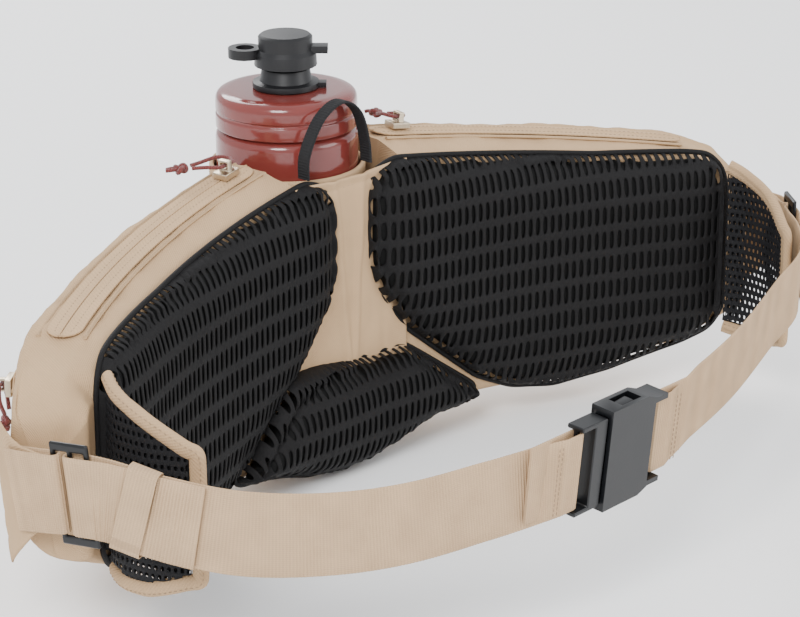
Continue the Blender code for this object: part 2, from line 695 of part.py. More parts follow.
def make_bottle():
    turned("bottle_sleeve", [
        (0, SLEEVE_BASE + 2.5), (SLEEVE_IN, SLEEVE_BASE + 2.5), (SLEEVE_IN, SLEEVE_TOP),
        (SLEEVE_OUT, SLEEVE_TOP), (SLEEVE_OUT, SLEEVE_BASE + 3), (SLEEVE_OUT - 3, SLEEVE_BASE),
        (0, SLEEVE_BASE)], BOTTLE_XY, "shell_fabric")
    turned("bottle_body", [
        (0, BOTTLE_BASE + 2), (32, BOTTLE_BASE + 2), (34.6, BOTTLE_BASE + 5), (34.6, 12), (31, 14.6),
        (24.7, 16.4), (24.7, 29), (26.5, 29), (26.5, 18.4), (33, 16.8), (BOTTLE_R, 14), (BOTTLE_R, BOTTLE_BASE + 4),
        (33, BOTTLE_BASE), (0, BOTTLE_BASE)], BOTTLE_XY, "bottle_plastic")
    turned("bottle_gasket", [(27.5, 32.2), (27.5, 29.4), (24.8, 29.4), (24.8, 32.2)], BOTTLE_XY,
           "gasket_rubber", closed=True)
    turned("bottle_lid", [
        (9.4, LID_TOP + 1.0), (30, LID_TOP + 0.8), (34.4, LID_TOP - 0.2), (BOTTLE_R - 0.2, LID_TOP - 2.8),
        (BOTTLE_R - 0.2, LID_BASE), (34.0, LID_BASE), (34.0, LID_TOP - 3.0), (9.4, LID_TOP - 1.6)],
        BOTTLE_XY, "bottle_plastic", closed=True)
    valve = turned("twist_valve", [
        (7.5, 59), (7.5, 47), (12.2, 46.6), (13.4, 40.2), (17, 39.6), (17, 36.9), (9.0, 36.9), (9.0, 33),
        (4, 33), (4, 59)], BOTTLE_XY, "valve_rubber", steps=24, closed=True)
    turned("bite_valve", [(0, 61.6), (5.6, 61.3), (7.2, 59.4), (0, 59.4)], BOTTLE_XY, "gasket_rubber",
           steps=16)
    cap = turned("mud_cap", [
        (0, CAP_TOP), (12.4, CAP_TOP), (13.8, CAP_TOP - 1.2), (13.8, 56.5), (15.6, 54.5), (16, 48.3),
        (14.4, 48.3), (14.2, 54), (12.0, 56.5), (11.8, 62.3), (0, 62.3)], BOTTLE_XY, "valve_rubber", steps=24)
    turn = Matrix.Rotation(math.radians(CAP_TURN_DEG), 4, "Z")
    turn.translation = (*BOTTLE_XY, 0)
    lever = box("valve_lever", (14, -3.2, 37.1), (20.5, 3.2, 39.4), turn, None)
    join(valve, cutter_of(lever))
    join(cap, cutter_of(box("cap_tab", (13, -4, 54.8), (21.5, 4, 58.4), turn, None)))
    centre = turn @ Vector((-20.5, 0, 0))
    loop = turned("cap_loop", [(8.6, 57), (8.6, 52), (4.7, 52), (4.7, 57)], centre, "valve_rubber", steps=16,
                  closed=True)
    join(cap, cutter_of(loop))


def grab_loop():
    rows = smooth_curve(GRAB_ARCH, 4)
    rings = []
    last = len(rows) - 1
    for k, (x, z) in enumerate(rows):
        a, b = rows[max(k - 1, 0)], rows[min(k + 1, last)]
        normal = Vector((b[1] - a[1], 0, a[0] - b[0])).normalized() * 0.7
        centre = Vector((x, GRAB_Y, z))
        half = Vector((0, GRAB_WIDTH / 2, 0))
        rings.append([centre + normal - half, centre + normal + half, centre - normal + half,
                      centre - normal - half])
    loop = loft("grab_loop", rings, "loop_webbing", 40)
    hang([loop], "grab_loop_axis", (0, GRAB_Y, 0))


clear_scene()
PARTS = collection("waist_pack")
CUTTERS = collection("cutters", hidden=True)
BELT_ROWS = belt_samples()
for label, hand in (("left", -1), ("right", 1)):
    pocket(label + "_pocket", hand)
    pad(label + "_pad", PAD_TOP, PAD_BOTTOM, PAD_DEPTH, mirror=hand)
    hip_flap(label, hand)
pad("lumbar_pad", LUMBAR_TOP, LUMBAR_BOTTOM, LUMBAR_DEPTH)
spine_panel()
make_zips()
make_belt()
make_bottle()
grab_loop()
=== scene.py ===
"""Looks of the waist pack: fabric, mesh, webbing, zips, buckle and bottle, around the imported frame.

Lengths are in millimetres until a mesh is made, when MM turns them into metres. +Z is up, +Y points away
from the wearer, and the origin is the middle of the spine panel's top edge.
"""

import math

import bmesh
import bpy
import numpy as np
from mathutils import Matrix, Vector, noise
from mathutils.bvhtree import BVHTree


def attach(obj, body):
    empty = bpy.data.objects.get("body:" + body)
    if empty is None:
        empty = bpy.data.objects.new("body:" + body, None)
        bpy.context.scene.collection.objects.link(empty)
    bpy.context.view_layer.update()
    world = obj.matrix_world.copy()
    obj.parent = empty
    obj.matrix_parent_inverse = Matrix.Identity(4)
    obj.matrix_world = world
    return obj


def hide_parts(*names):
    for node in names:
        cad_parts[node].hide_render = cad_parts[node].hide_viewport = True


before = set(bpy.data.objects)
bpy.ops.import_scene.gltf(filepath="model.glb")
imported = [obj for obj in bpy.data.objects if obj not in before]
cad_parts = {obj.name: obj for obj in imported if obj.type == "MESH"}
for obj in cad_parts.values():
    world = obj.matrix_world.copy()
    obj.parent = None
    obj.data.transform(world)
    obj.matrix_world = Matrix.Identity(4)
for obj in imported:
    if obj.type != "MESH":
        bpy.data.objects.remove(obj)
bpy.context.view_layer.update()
MM = 0.001

# ---------------------------------------------------------------- dimensions shared with the CAD

WRAP_R = 400.0
OUTER_R = 360.0
OUTER_DEPTH = 57.0
PANEL_T = -2.5
POCKET_FROM, POCKET_TO = 37.8, 249.0
POCKET_BOTTOM = [(37, -141), (150, -142), (215, -131), (250, -113)]
ZIP_R = 418.0
ZIP_MID = (134.0, 0.5, -7.0)
ZIP_CHORD_DEG = -20.6
ZIP_TILT_DEG = 8.4
ZIP_HALF_DEG = 12.2
ZIP_TAPE = 17.0
TAPE_LIFT = 0.7
TAPE_T = 1.2
FRONT_Z = -45.0
FRONT_TAPE = 15.0
FRONT_FROM_DEG, FRONT_TO_DEG = -39.0, -14.0
CORD_R = 1.0
CORDS = {
    "left": ([(11, -12, 6.5), (8, -6, 7), (4, -1, 6.4), (0, 0, 6.2), (-4, 1, 6.4), (-7, -3, 6.8), (-4, -9, 7),
              (4, -13, 6.5), (8.5, -15, 6.5)], (14, -17, 6.5)),
    "right": ([(2.5, 13, 4.5), (5.5, 7, 6), (4, 1, 6.4), (0, 0, 6.2), (-4, 0, 6.4), (-6.5, 6, 6.4),
               (-4, 13, 4.5)], (-0.8, 18.5, 3.5)),
    "front": ([(2.5, 13, 4), (5.5, 7, 5.4), (4, 1, 6.4), (0, 0, 6.2), (-4, 0, 6.4), (-6.5, 6, 5.8),
               (-4, 13, 4.5)], (-0.8, 18.5, 5.2)),
}
PAD_TOP = [(14, -14), (19, -4), (32, 0), (88, -8), (158, -18), (212, -22), (226, -24), (233, -31), (236, -40)]
PAD_BOTTOM = [(14, -50), (20, -65), (42, -92), (88, -129), (110, -139), (137, -143), (170, -139), (214, -128),
              (229, -122), (236, -112)]
LUMBAR_TOP = [(-86, -137), (-70, -121), (-50, -104), (-27, -99), (14, -104), (37, -103), (50, -112), (83, -138)]
LUMBAR_BOTTOM = [(-86, -140), (-71, -142), (-50, -147), (-32, -153), (-4, -157), (24, -152), (50, -144),
                 (83, -140.5)]
LUMBAR_TOP_SHOWN = [(-92, -137), (-75, -117), (-55, -96), (-27, -97), (14, -103), (37, -102), (50, -111),
                    (86, -137)]
FLAP_PLAN = [(218.5, -75.5), (222, -86), (220, -103), (211, -120)]
FLAP_TOP = [-33.0, -38.0, -46.0, -58.0]
FLAP_BOTTOM = [-117.0, -119.0, -118.0, -112.0]
BINDING_R = 3.4
GAP = 0.4
BOTTLE_XY = (0.0, 40.5)
BOTTLE_R = 36.4
GRAB_ARCH = [(-28, 2.4), (-27, 15), (-17, 31), (-3, 37.5), (9, 30), (14.5, 14), (15.5, 2.4)]
GRAB_Y = -1.2
WEB_W = 38.0
WEB_T = 1.6
WEB_OFFSET = 2.6
BELT = [
    (-252, -40, -80, 0), (-257.8, -62, -74, 2), (-252, -92, -70, 4), (-244, -110, -71, 2),
    (-236, -126, -75, -3), (-217, -155, -80, -7), (-191, -181, -81, -3), (-160, -200, -80, -1),
    (-121, -213, -77, 0), (-76, -220, -74, 2), (-42, -221.5, -73, 6), (-8, -216.5, -74, 6),
    (31, -205, -76, 6), (91, -184, -78, 5), (155, -158, -77, 4), (204, -138, -75, 2),
    (246, -97, -72, 0), (258, -69, -73, 0), (252, -40, -79, 0),
]
LEFT_GLIDE, BUCKLE, RIGHT_GLIDE = 2, 10, 16
TAIL_LEFT, TAIL_RIGHT = 58.0, 50.0
BELT_STEPS = 6
SEWN_END = 28.0
KEEPER = (22.0, 36.0)

# ---------------------------------------------------------------- looks

KHAKI = (0.50, 0.335, 0.190)
KHAKI_WEB = (0.47, 0.320, 0.190)
BLACK_KNIT = (0.0065, 0.0062, 0.0065)
BLACK_FOAM = (0.0012, 0.0012, 0.0012)
BLACK_PLASTIC = (0.0055, 0.006, 0.007)
BRICK = (0.20, 0.036, 0.030)
CORD_RED = (0.13, 0.016, 0.013)
CHAMPAGNE = (0.60, 0.50, 0.37)
MESH_PITCH = (4.7, 13.8)  # spacer mesh: across, and from row to row
MESH_HOLE = (1.25, 5.3)  # half width and half height of its holes
NET_PITCH = (3.0, 4.4)  # hip flap net
NET_HOLE = (0.78, 1.15)
RIB_PITCH = 1.5  # ribs across the webbing
RIB_H = 0.16


class Shader:
    """A material's node tree, with short ways to add the nodes used here."""

    def __init__(self, name, colour, roughness, **sockets):
        self.material = bpy.data.materials.new(name)
        self.material.use_nodes = True
        self.tree = self.material.node_tree
        self.surface = self.tree.nodes["Principled BSDF"]
        self.surface.inputs["Base Color"].default_value = (*colour, 1)
        self.surface.inputs["Roughness"].default_value = roughness
        for key, value in sockets.items():
            self.surface.inputs[key.replace("_", " ")].default_value = value

    def add(self, kind, links=(), **settings):
        node = self.tree.nodes.new(kind)
        for key, value in settings.items():
            setattr(node, key, value)
        for socket, source in links:
            if isinstance(source, bpy.types.NodeSocket):
                self.tree.links.new(source, node.inputs[socket])
            else:
                node.inputs[socket].default_value = source
        return node

    def math(self, operation, a, b=0.0):
        return self.add("ShaderNodeMath", ((0, a), (1, b)), operation=operation).outputs[0]

    def coordinates(self, name=None):
        """The named cloth coordinates of a mesh, or its own object coordinates."""
        if name:
            return self.add("ShaderNodeAttribute", attribute_name=name).outputs["Vector"]
        return self.add("ShaderNodeTexCoord").outputs["Object"]

    def noise(self, where, scale, detail=2.0, roughness=0.5):
        links = (("Vector", where), ("Scale", scale), ("Detail", detail), ("Roughness", roughness))
        return self.add("ShaderNodeTexNoise", links).outputs["Fac"]

    def threads(self, where, pitch, turn_deg=0.0):
        """A sine along one direction of the cloth, from -1 to 1, with the given pitch in metres."""
        split = self.add("ShaderNodeSeparateXYZ", ((0, where),))
        a = math.radians(turn_deg)
        x = self.math("MULTIPLY", split.outputs[0], 2 * math.pi / pitch * math.cos(a))
        y = self.math("MULTIPLY", split.outputs[1], 2 * math.pi / pitch * math.sin(a))
        return self.math("SINE", self.math("ADD", x, y))

    def shade(self, factor, low, high):
        """The base colour runs from low to high as the factor goes from 0 to 1."""
        mix = self.add("ShaderNodeMix", data_type="RGBA")
        mix.inputs[6].default_value = (*low, 1)
        mix.inputs[7].default_value = (*high, 1)
        self.tree.links.new(factor, mix.inputs[0])
        self.tree.links.new(mix.outputs[2], self.surface.inputs["Base Color"])

    def bump(self, height, distance, strength=1.0):
        links = (("Height", height), ("Distance", distance), ("Strength", strength))
        node = self.add("ShaderNodeBump", links)
        previous = self.surface.inputs["Normal"].links
        if previous:
            self.tree.links.new(previous[0].from_socket, node.inputs["Normal"])
        self.tree.links.new(node.outputs[0], self.surface.inputs["Normal"])


def tint(colour, factor):
    return tuple(min(1.0, c * factor) for c in colour)


def twill(name, colour, coordinates="cloth", pitch=0.0011, creases=0.5):
    """Fine twill cloth: diagonal threads, soft creases, slightly uneven dye, and painted shade in the valleys
    between the threads.
    """
    made = Shader(name, colour, 0.88, Specular_IOR_Level=0.25, Sheen_Weight=0.06, Sheen_Tint=(*colour, 1))
    where = made.coordinates(coordinates)
    place = made.coordinates()
    diagonal = made.threads(where, pitch, 45)
    cross = made.threads(where, pitch * 0.8, -45)
    weave = made.math("ADD", diagonal, made.math("MULTIPLY", cross, 0.5))
    dye = made.noise(place, 35, 4, 0.6)
    # Colour: uneven dye from the noise, plus painted shade, the weave's threads darker in their valleys.
    level = made.math("ADD", made.math("MULTIPLY", dye, 0.8), made.math("MULTIPLY", weave, 0.10))
    made.shade(level, tint(colour, 0.80), tint(colour, 1.14))
    if creases:
        made.bump(made.noise(place, 45, 3, 0.55), 0.0016, creases)
    made.bump(weave, 0.00010, 0.7)
    return made.material


def knit(name, colour):
    """Black knitted yarn with small loops: their glints are painted highlights and the gaps between them painted
    shade, as speckle in the colour, with a bump on the same grain.
    """
    made = Shader(name, colour, 0.62, Specular_IOR_Level=0.16)
    place = made.coordinates()
    grain = made.noise(place, 1500, 3, 0.7)
    # Painted highlights on the loops and painted shade between them: the colour runs from a quarter to 2.4 times the
    # yarn's own.
    made.shade(grain, tint(colour, 0.25), tint(colour, 2.4))
    made.bump(grain, 0.0005, 0.9)
    return made.material


def webbing(name, colour):
    """Ribbed webbing, whose ribs are in the mesh: here the threads along each rib, with painted shade in the grooves
    between ribs and threads.
    """
    made = Shader(name, colour, 0.80, Specular_IOR_Level=0.25, Sheen_Weight=0.06, Sheen_Tint=(*colour, 1))
    where = made.coordinates("cloth")
    along = made.threads(where, RIB_PITCH * MM)
    across = made.threads(where, 0.0009, 90)
    weave = made.math("ADD", along, made.math("MULTIPLY", across, 0.7))
    # Colour: random tone from the noise, plus painted shade, darker in the grooves of the ribs and threads.
    level = made.math("ADD", made.math("MULTIPLY", weave, 0.16), made.noise(made.coordinates(), 60, 3))
    made.shade(level, tint(colour, 0.78), tint(colour, 1.16))
    made.bump(weave, 0.00012, 0.6)
    return made.material


def plastic(name, colour, roughness=0.32):
    made = Shader(name, colour, roughness, Specular_IOR_Level=0.35)
    grain = made.noise(made.coordinates(), 900, 2)
    smear = made.noise(made.coordinates(), 40, 3)
    rough = made.math("ADD", made.math("MULTIPLY", smear, 0.18), roughness - 0.09)
    made.tree.links.new(rough, made.surface.inputs["Roughness"])
    made.bump(grain, 0.00004, 0.5)
    return made.material


def translucent_red():
    made = Shader("bottle_red", BRICK, 0.16, Transmission_Weight=0.25, IOR=1.45, Coat_Weight=0.3)
    made.surface.inputs["Coat Roughness"].default_value = 0.06
    cloud = made.noise(made.coordinates(), 30, 3)
    made.shade(cloud, tint(BRICK, 0.85), tint(BRICK, 1.2))
    made.bump(made.noise(made.coordinates(), 220, 2), 0.00012, 0.35)
    return made.material


def metal():
    made = Shader("champagne_metal", CHAMPAGNE, 0.34, Metallic=1.0)
    grain = made.noise(made.coordinates(), 700, 3)
    made.shade(grain, tint(CHAMPAGNE, 0.85), tint(CHAMPAGNE, 1.1))
    made.bump(grain, 0.00005, 0.5)
    return made.material


def braid():
    made = Shader("red_braid", CORD_RED, 0.65, Sheen_Weight=0.2)
    place = made.coordinates()
    plait = made.math("MULTIPLY", made.threads(place, 0.0011, 35), made.threads(place, 0.0011, -35))
    # The plait's strands lighter and the grooves between them darker: painted highlight and painted shade on the
    # braid's relief, which the bump also draws.
    level = made.math("ADD", made.math("MULTIPLY", plait, 0.5), 0.5)
    made.shade(level, tint(CORD_RED, 0.6), tint(CORD_RED, 1.6))
    made.bump(plait, 0.0003, 0.8)
    return made.material


def pale_floor():
    made = Shader("floor", (0.96, 0.96, 0.96), 0.95, Specular_IOR_Level=0.1)
    made.shade(made.noise(made.coordinates(), 3), (0.955, 0.955, 0.955), (0.97, 0.97, 0.97))
    return made.material


SHELL = twill("shell_cloth", KHAKI)
BIND = twill("binding_cloth", tint(KHAKI, 0.93), pitch=0.0014, creases=0.3)
TAPE = twill("tape_cloth", tint(KHAKI, 1.04), pitch=0.0017, creases=0.0)
# Dark cloth for the groove between a zip's two coil rows: painted shade.
ZIP_GAP_SHADE = twill("zip_gap_shade", (0.20, 0.14, 0.09), pitch=0.0012, creases=0.0)
WEB = webbing("belt_web", KHAKI_WEB)
LOOP_WEB = webbing("loop_web", (0.014, 0.014, 0.015))
KNIT = knit("spacer_knit", BLACK_KNIT)
NET = knit("net_knit", (0.008, 0.008, 0.009))
FOAM = knit("foam_under_mesh", BLACK_FOAM)
PLASTIC = plastic("black_plastic", BLACK_PLASTIC)
RUBBER = plastic("black_rubber", (0.008, 0.008, 0.009), 0.42)
CLEAR_RUBBER = plastic("clear_rubber", (0.5, 0.5, 0.5), 0.5)
BOTTLE_RED = translucent_red()
METAL = metal()
BRAID = braid()
DARK_STITCH = twill("dark_thread", (0.30, 0.21, 0.13), None, 0.0006, 0.0)

# ---------------------------------------------------------------- mesh helpers


def between(points, x):
    xs = [p[0] for p in points]
    return np.interp(x, xs, [p[1] for p in points])


def catmull(points, steps):
    """A Catmull-Rom curve through points, with steps samples from each to the next."""
    rows = np.array(points, float)
    padded = np.vstack([rows[:1], rows, rows[-1:]])
    made = []
    for a, b, c, d in zip(padded, padded[1:], padded[2:], padded[3:]):
        for f in np.arange(steps) / steps:
            made.append(0.5 * (2 * b + (c - a) * f + (2 * a - 5 * b + 4 * c - d) * f * f
                               + (3 * b - a - 3 * c + d) * f ** 3))
    made.append(rows[-1])
    return np.array(made)


def spaced(points, step):
    """The same line with even steps."""
    points = np.array(points, float)
    along = np.concatenate([[0], np.cumsum(np.linalg.norm(np.diff(points[:, :3], axis=0), axis=1))])
    at = np.linspace(0, along[-1], max(2, int(along[-1] / step) + 1))
    return np.stack([np.interp(at, along, points[:, k]) for k in range(points.shape[1])], 1)


def wrap(u, t, z):
    """Points on the upright cylinder that the pack wraps round."""
    angle = np.asarray(u, float) / WRAP_R
    radius = WRAP_R + np.asarray(t, float)
    z = np.asarray(z, float) + 0 * angle
    return np.stack(np.broadcast_arrays(radius * np.sin(angle), radius * np.cos(angle) - WRAP_R, z), -1)


def piece(name, data, material, body, replaces=()):
    obj = bpy.data.objects.new(name, data)
    bpy.context.scene.collection.objects.link(obj)
    data.materials.append(material)
    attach(obj, body)
    if replaces:
        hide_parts(*replaces)
    return obj


def smooth_shade(mesh, sharp_deg=40):
    mesh.shade_smooth()
    mesh.set_sharp_from_angle(angle=math.radians(sharp_deg))


def grid_mesh(name, points, ring=False, caps=False, sharp_deg=40):
    """A quad mesh over rows of points, in millimetres, with its cloth coordinates in metres."""
    points = np.asarray(points, float)
    n, m = points.shape[:2]
    index = np.arange(n * m).reshape(n, m)
    right = np.roll(index, -1, 1) if ring else index[:, 1:]
    left = index if ring else index[:, :-1]
    faces = np.stack([left[:-1], right[:-1], right[1:], left[1:]], -1).reshape(-1, 4).tolist()
    if caps:
        faces += [index[0][::-1].tolist(), index[-1].tolist()]
    mesh = bpy.data.meshes.new(name)
    mesh.from_pydata((points.reshape(-1, 3) * MM).tolist(), [], faces)
    along = np.concatenate([[0], np.cumsum(np.linalg.norm(np.diff(points[:, m // 2], axis=0), axis=1))])
    across = np.concatenate([[0], np.cumsum(np.linalg.norm(np.diff(points[n // 2], axis=0), axis=1))])
    cloth = np.zeros((n, m, 3), np.float32)
    cloth[..., 0] = along[:, None] * MM
    cloth[..., 1] = across[None, :] * MM
    attribute = mesh.attributes.new("cloth", "FLOAT_VECTOR", "POINT")
    attribute.data.foreach_set("vector", cloth.ravel())
    outward(mesh)
    smooth_shade(mesh, sharp_deg)
    return mesh


def outward(mesh):
    bm = bmesh.new()
    bm.from_mesh(mesh)
    bmesh.ops.recalc_face_normals(bm, faces=bm.faces)
    bm.to_mesh(mesh)
    bm.free()


def thicken(obj, thickness, levels=0, offset=-1.0):
    wall = obj.modifiers.new("wall", "SOLIDIFY")
    wall.thickness = thickness * MM
    wall.offset = offset
    if levels:
        soften(obj, levels)


def soften(obj, levels=1):
    smooth = obj.modifiers.new("smooth", "SUBSURF")
    smooth.levels = levels
    smooth.render_levels = levels


def frames_along(points, ups):
    """Unit tangents and side vectors along a line, given the up vectors."""
    tangent = np.gradient(points, axis=0)
    tangent /= np.maximum(np.linalg.norm(tangent, axis=1, keepdims=True), 1e-9)
    side = np.cross(tangent, ups)
    side /= np.maximum(np.linalg.norm(side, axis=1, keepdims=True), 1e-9)
    return tangent, side


def sweep(name, points, ups, section, ribs=0.0, caps=True, sharp_deg=50):
    """A closed section of (along up, along side) points, swept along a line; ribs swells it in fine waves."""
    _, side = frames_along(points, ups)
    section = np.array(section, float)
    length = np.concatenate([[0], np.cumsum(np.linalg.norm(np.diff(points, axis=0), axis=1))])
    wave = ribs * np.sin(2 * math.pi * length / RIB_PITCH)
    rings = []
    for centre, up, across, swell in zip(points, ups, side, wave):
        high = section[:, :1]
        wide = section[:, 1:] + np.sign(section[:, 1:]) * swell * (np.abs(section[:, 1:]) > 0.3)
        rings.append(centre + high * up + wide * across)
    return grid_mesh(name, rings, ring=True, caps=caps, sharp_deg=sharp_deg)


def tape_section(width, thickness, columns=8):
    """A flat band's section with rounded edges, as (along the width, through the thickness)."""
    half, t = width / 2, thickness / 2
    flat = np.linspace(-half + t, half - t, columns)
    top = [(x, t) for x in flat]
    low = [(x, -t) for x in flat[::-1]]
    return top + [(half - 0.25 * t, 0.55 * t), (half, 0), (half - 0.25 * t, -0.55 * t)] + low + [
        (-half + 0.25 * t, -0.55 * t), (-half, 0), (-half + 0.25 * t, 0.55 * t)]


def round_section(radius_up, radius_side, sides=10):
    turn = [2 * math.pi * k / sides for k in range(sides)]
    return [(radius_up * math.cos(a), radius_side * math.sin(a)) for a in turn]


def stitches(name, points, outs, body, material=DARK_STITCH, pitch=3.2, length=2.2, radius=0.32):
    """A row of raised stitches along a line that already lies on the fabric."""
    line = spaced(np.hstack([points, outs]), pitch)
    bm = bmesh.new()
    for a, b in zip(line, line[1:]):
        start, run = Vector(a[:3]), Vector(b[:3] - a[:3])
        if run.length < 1e-6:
            continue
        out = Vector(a[3:6]).normalized()
        middle = start + run * 0.5 + out * 0.05
        turn = run.to_track_quat("X", "Z").to_matrix().to_4x4()
        turn.translation = middle
        made = bmesh.ops.create_icosphere(bm, subdivisions=1, radius=1.0)["verts"]
        bmesh.ops.scale(bm, verts=made, vec=(length / 2, radius, radius))
        bmesh.ops.transform(bm, matrix=turn, verts=made)
    bmesh.ops.scale(bm, verts=bm.verts, vec=(MM, MM, MM))
    mesh = bpy.data.meshes.new(name)
    bm.to_mesh(mesh)
    bm.free()
    smooth_shade(mesh, 80)
    return piece(name, mesh, material, body)


def refined(node, body, material, width, segments=3, levels=0):
    """A CAD node's shape again, with its edges rounded."""
    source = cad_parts[node].data
    bm = bmesh.new()
    bm.from_mesh(source)
    bmesh.ops.remove_doubles(bm, verts=bm.verts, dist=0.00001)
    bmesh.ops.dissolve_limit(bm, angle_limit=math.radians(1.5), verts=bm.verts, edges=bm.edges)
    mesh = bpy.data.meshes.new(node + "_shown")
    bm.to_mesh(mesh)
    bm.free()
    obj = piece(node + "_shown", mesh, material, body, (node,))
    edges = obj.modifiers.new("edges", "BEVEL")
    edges.width = width * MM
    edges.segments = segments
    edges.limit_method = "ANGLE"
    edges.angle_limit = math.radians(28)
    edges.use_clamp_overlap = True
    mesh.shade_smooth()
    mesh.set_sharp_from_angle(angle=math.radians(60))
    return obj


# ---------------------------------------------------------------- zips and cords


def zip_frame(side):
    chord = math.radians(ZIP_CHORD_DEG)
    tilt = math.radians(ZIP_TILT_DEG)
    radial = Vector((-math.sin(chord) * side, math.cos(chord), 0))
    level = Vector((math.cos(chord) * side, math.sin(chord), 0))
    forward = level * math.cos(tilt) - Vector((0, 0, math.sin(tilt)))
    middle = Vector((ZIP_MID[0] * side, ZIP_MID[1], ZIP_MID[2]))
    return middle - radial * ZIP_R, radial, forward


def front_zip_frame():
    return Vector((0, OUTER_DEPTH - OUTER_R, FRONT_Z)), Vector((0, 1, 0)), Vector((1, 0, 0))


def arc_point(arc, radius, degrees, offset=0.0):
    centre, radial, forward = arc
    a = math.radians(degrees)
    axis = radial.cross(forward).normalized()
    return centre + (radial * math.cos(a) + forward * math.sin(a)) * radius + axis * offset


def lift_sign(arc):
    return 1.0 if arc[1].cross(arc[2]).z > 0 else -1.0


def slider_frames():
    """Each slider's frame: along the zip, across it, and out from the fabric, at its place on the tape."""
    made = {}
    for name, side in (("left", -1), ("right", 1)):
        arc = zip_frame(side)
        up = lift_sign(arc)
        angle, lift = -ZIP_HALF_DEG + 1.5, up * (TAPE_LIFT + TAPE_T)
        place = arc_point(arc, ZIP_R, angle, lift)
        along = (arc_point(arc, ZIP_R, angle + 0.01, lift) - place).normalized()
        made[name] = (place, along, arc[1].cross(arc[2]).normalized() * up)
    arc = front_zip_frame()
    radius = OUTER_R + TAPE_LIFT + TAPE_T
    place = arc_point(arc, radius, FRONT_FROM_DEG)
    along = (arc_point(arc, radius, FRONT_FROM_DEG + 0.01) - place).normalized()
    made["front"] = (place, along, (place - arc[0]).normalized())
    matrices = {}
    for name, (place, along, out) in made.items():
        matrix = Matrix((along, out.cross(along), out)).transposed().to_4x4()
        matrix.translation = place
        matrices[name] = matrix
    return matrices


def curve_piece(name, points, radius, material, body, replaces=(), resolution=4):
    curve = bpy.data.curves.new(name, "CURVE")
    curve.dimensions = "3D"
    curve.bevel_depth = radius * MM
    curve.bevel_resolution = resolution
    curve.use_fill_caps = True
    spline = curve.splines.new("POLY")
    spline.points.add(len(points) - 1)
    for point, place in zip(spline.points, points):
        point.co = (*(Vector(place) * MM), 1.0)
    return piece(name, curve, material, body, replaces)


def tube_mesh(bm, line, radius, sides=8):
    """Adds a round tube along a line of vectors to the bmesh."""
    normal = Vector((0, 0, 1))
    rings = []
    for k, centre in enumerate(line):
        ahead = line[min(k + 1, len(line) - 1)] - line[max(k - 1, 0)]
        ahead.normalize()
        normal = (normal - ahead * normal.dot(ahead))
        if normal.length < 1e-4:
            normal = ahead.orthogonal()
        normal.normalize()
        other = ahead.cross(normal)
        ring = []
        for j in range(sides):
            a = 2 * math.pi * j / sides
            ring.append(bm.verts.new(centre + (normal * math.cos(a) + other * math.sin(a)) * radius))
        rings.append(ring)
    for a, b in zip(rings, rings[1:]):
        for j in range(sides):
            i = (j + 1) % sides
            bm.faces.new((a[j], a[i], b[i], b[j]))
    bm.faces.new(list(reversed(rings[0])))
    bm.faces.new(rings[-1])


def overhand_knot(name, matrix, centre, ends, body, node):
    """A small overhand knot with two tails, in the slider's frame."""
    bm = bmesh.new()
    middle = Vector(centre)
    loop = []
    for k in range(61):
        a = 2 * math.pi * k / 60
        x = math.sin(a) + 2 * math.sin(2 * a)
        y = math.cos(a) - 2 * math.cos(2 * a)
        z = -math.sin(3 * a)
        loop.append(matrix @ (middle + Vector((x * 0.95, y * 0.95, z * 1.15))))
    tube_mesh(bm, loop, 1.25)
    for tail in ends:
        line = [matrix @ (middle + Vector(p)) for p in catmull(tail, 4)]
        tube_mesh(bm, line, CORD_R)
    bmesh.ops.scale(bm, verts=bm.verts, vec=(MM, MM, MM))
    mesh = bpy.data.meshes.new(name)
    bm.to_mesh(mesh)
    bm.free()
    smooth_shade(mesh, 70)
    return piece(name, mesh, BRAID, body, (node,))


def make_pulls():
    tails = {
        "left": [[(0, 0, 0), (3.5, -1.5, 0.5), (6, -4.5, 0.4)], [(0, 0, 0), (2, -3.5, 0.3), (3, -6.5, -0.6)]],
        "right": [[(0, 0, 0), (2.5, 3, 0.3), (4.5, 4.5, -0.5)],
                  [(0, 0, 0), (-2.5, 3, 0.3), (-4.0, 4.5, -0.5)]],
        "front": [[(0, 0, 0), (2.5, 3, 0.3), (4.0, 4.8, 0)], [(0, 0, 0), (-2.0, 3, 0.3), (-3.0, 5.0, 0)]],
    }
    for name, matrix in slider_frames().items():
        body = name + "_zip_pull"
        refined(name + "_zip_slider", body, METAL, 0.7)
        points, knot = CORDS[name]
        line = [matrix @ Vector(p) for p in catmull(points, 6)]
        cord = curve_piece(name + "_pull_cord", line, CORD_R, BRAID, body, (name + "_zip_cord",))
        tied = overhand_knot(name + "_pull_knot", matrix, knot, tails[name], body, name + "_zip_knot")


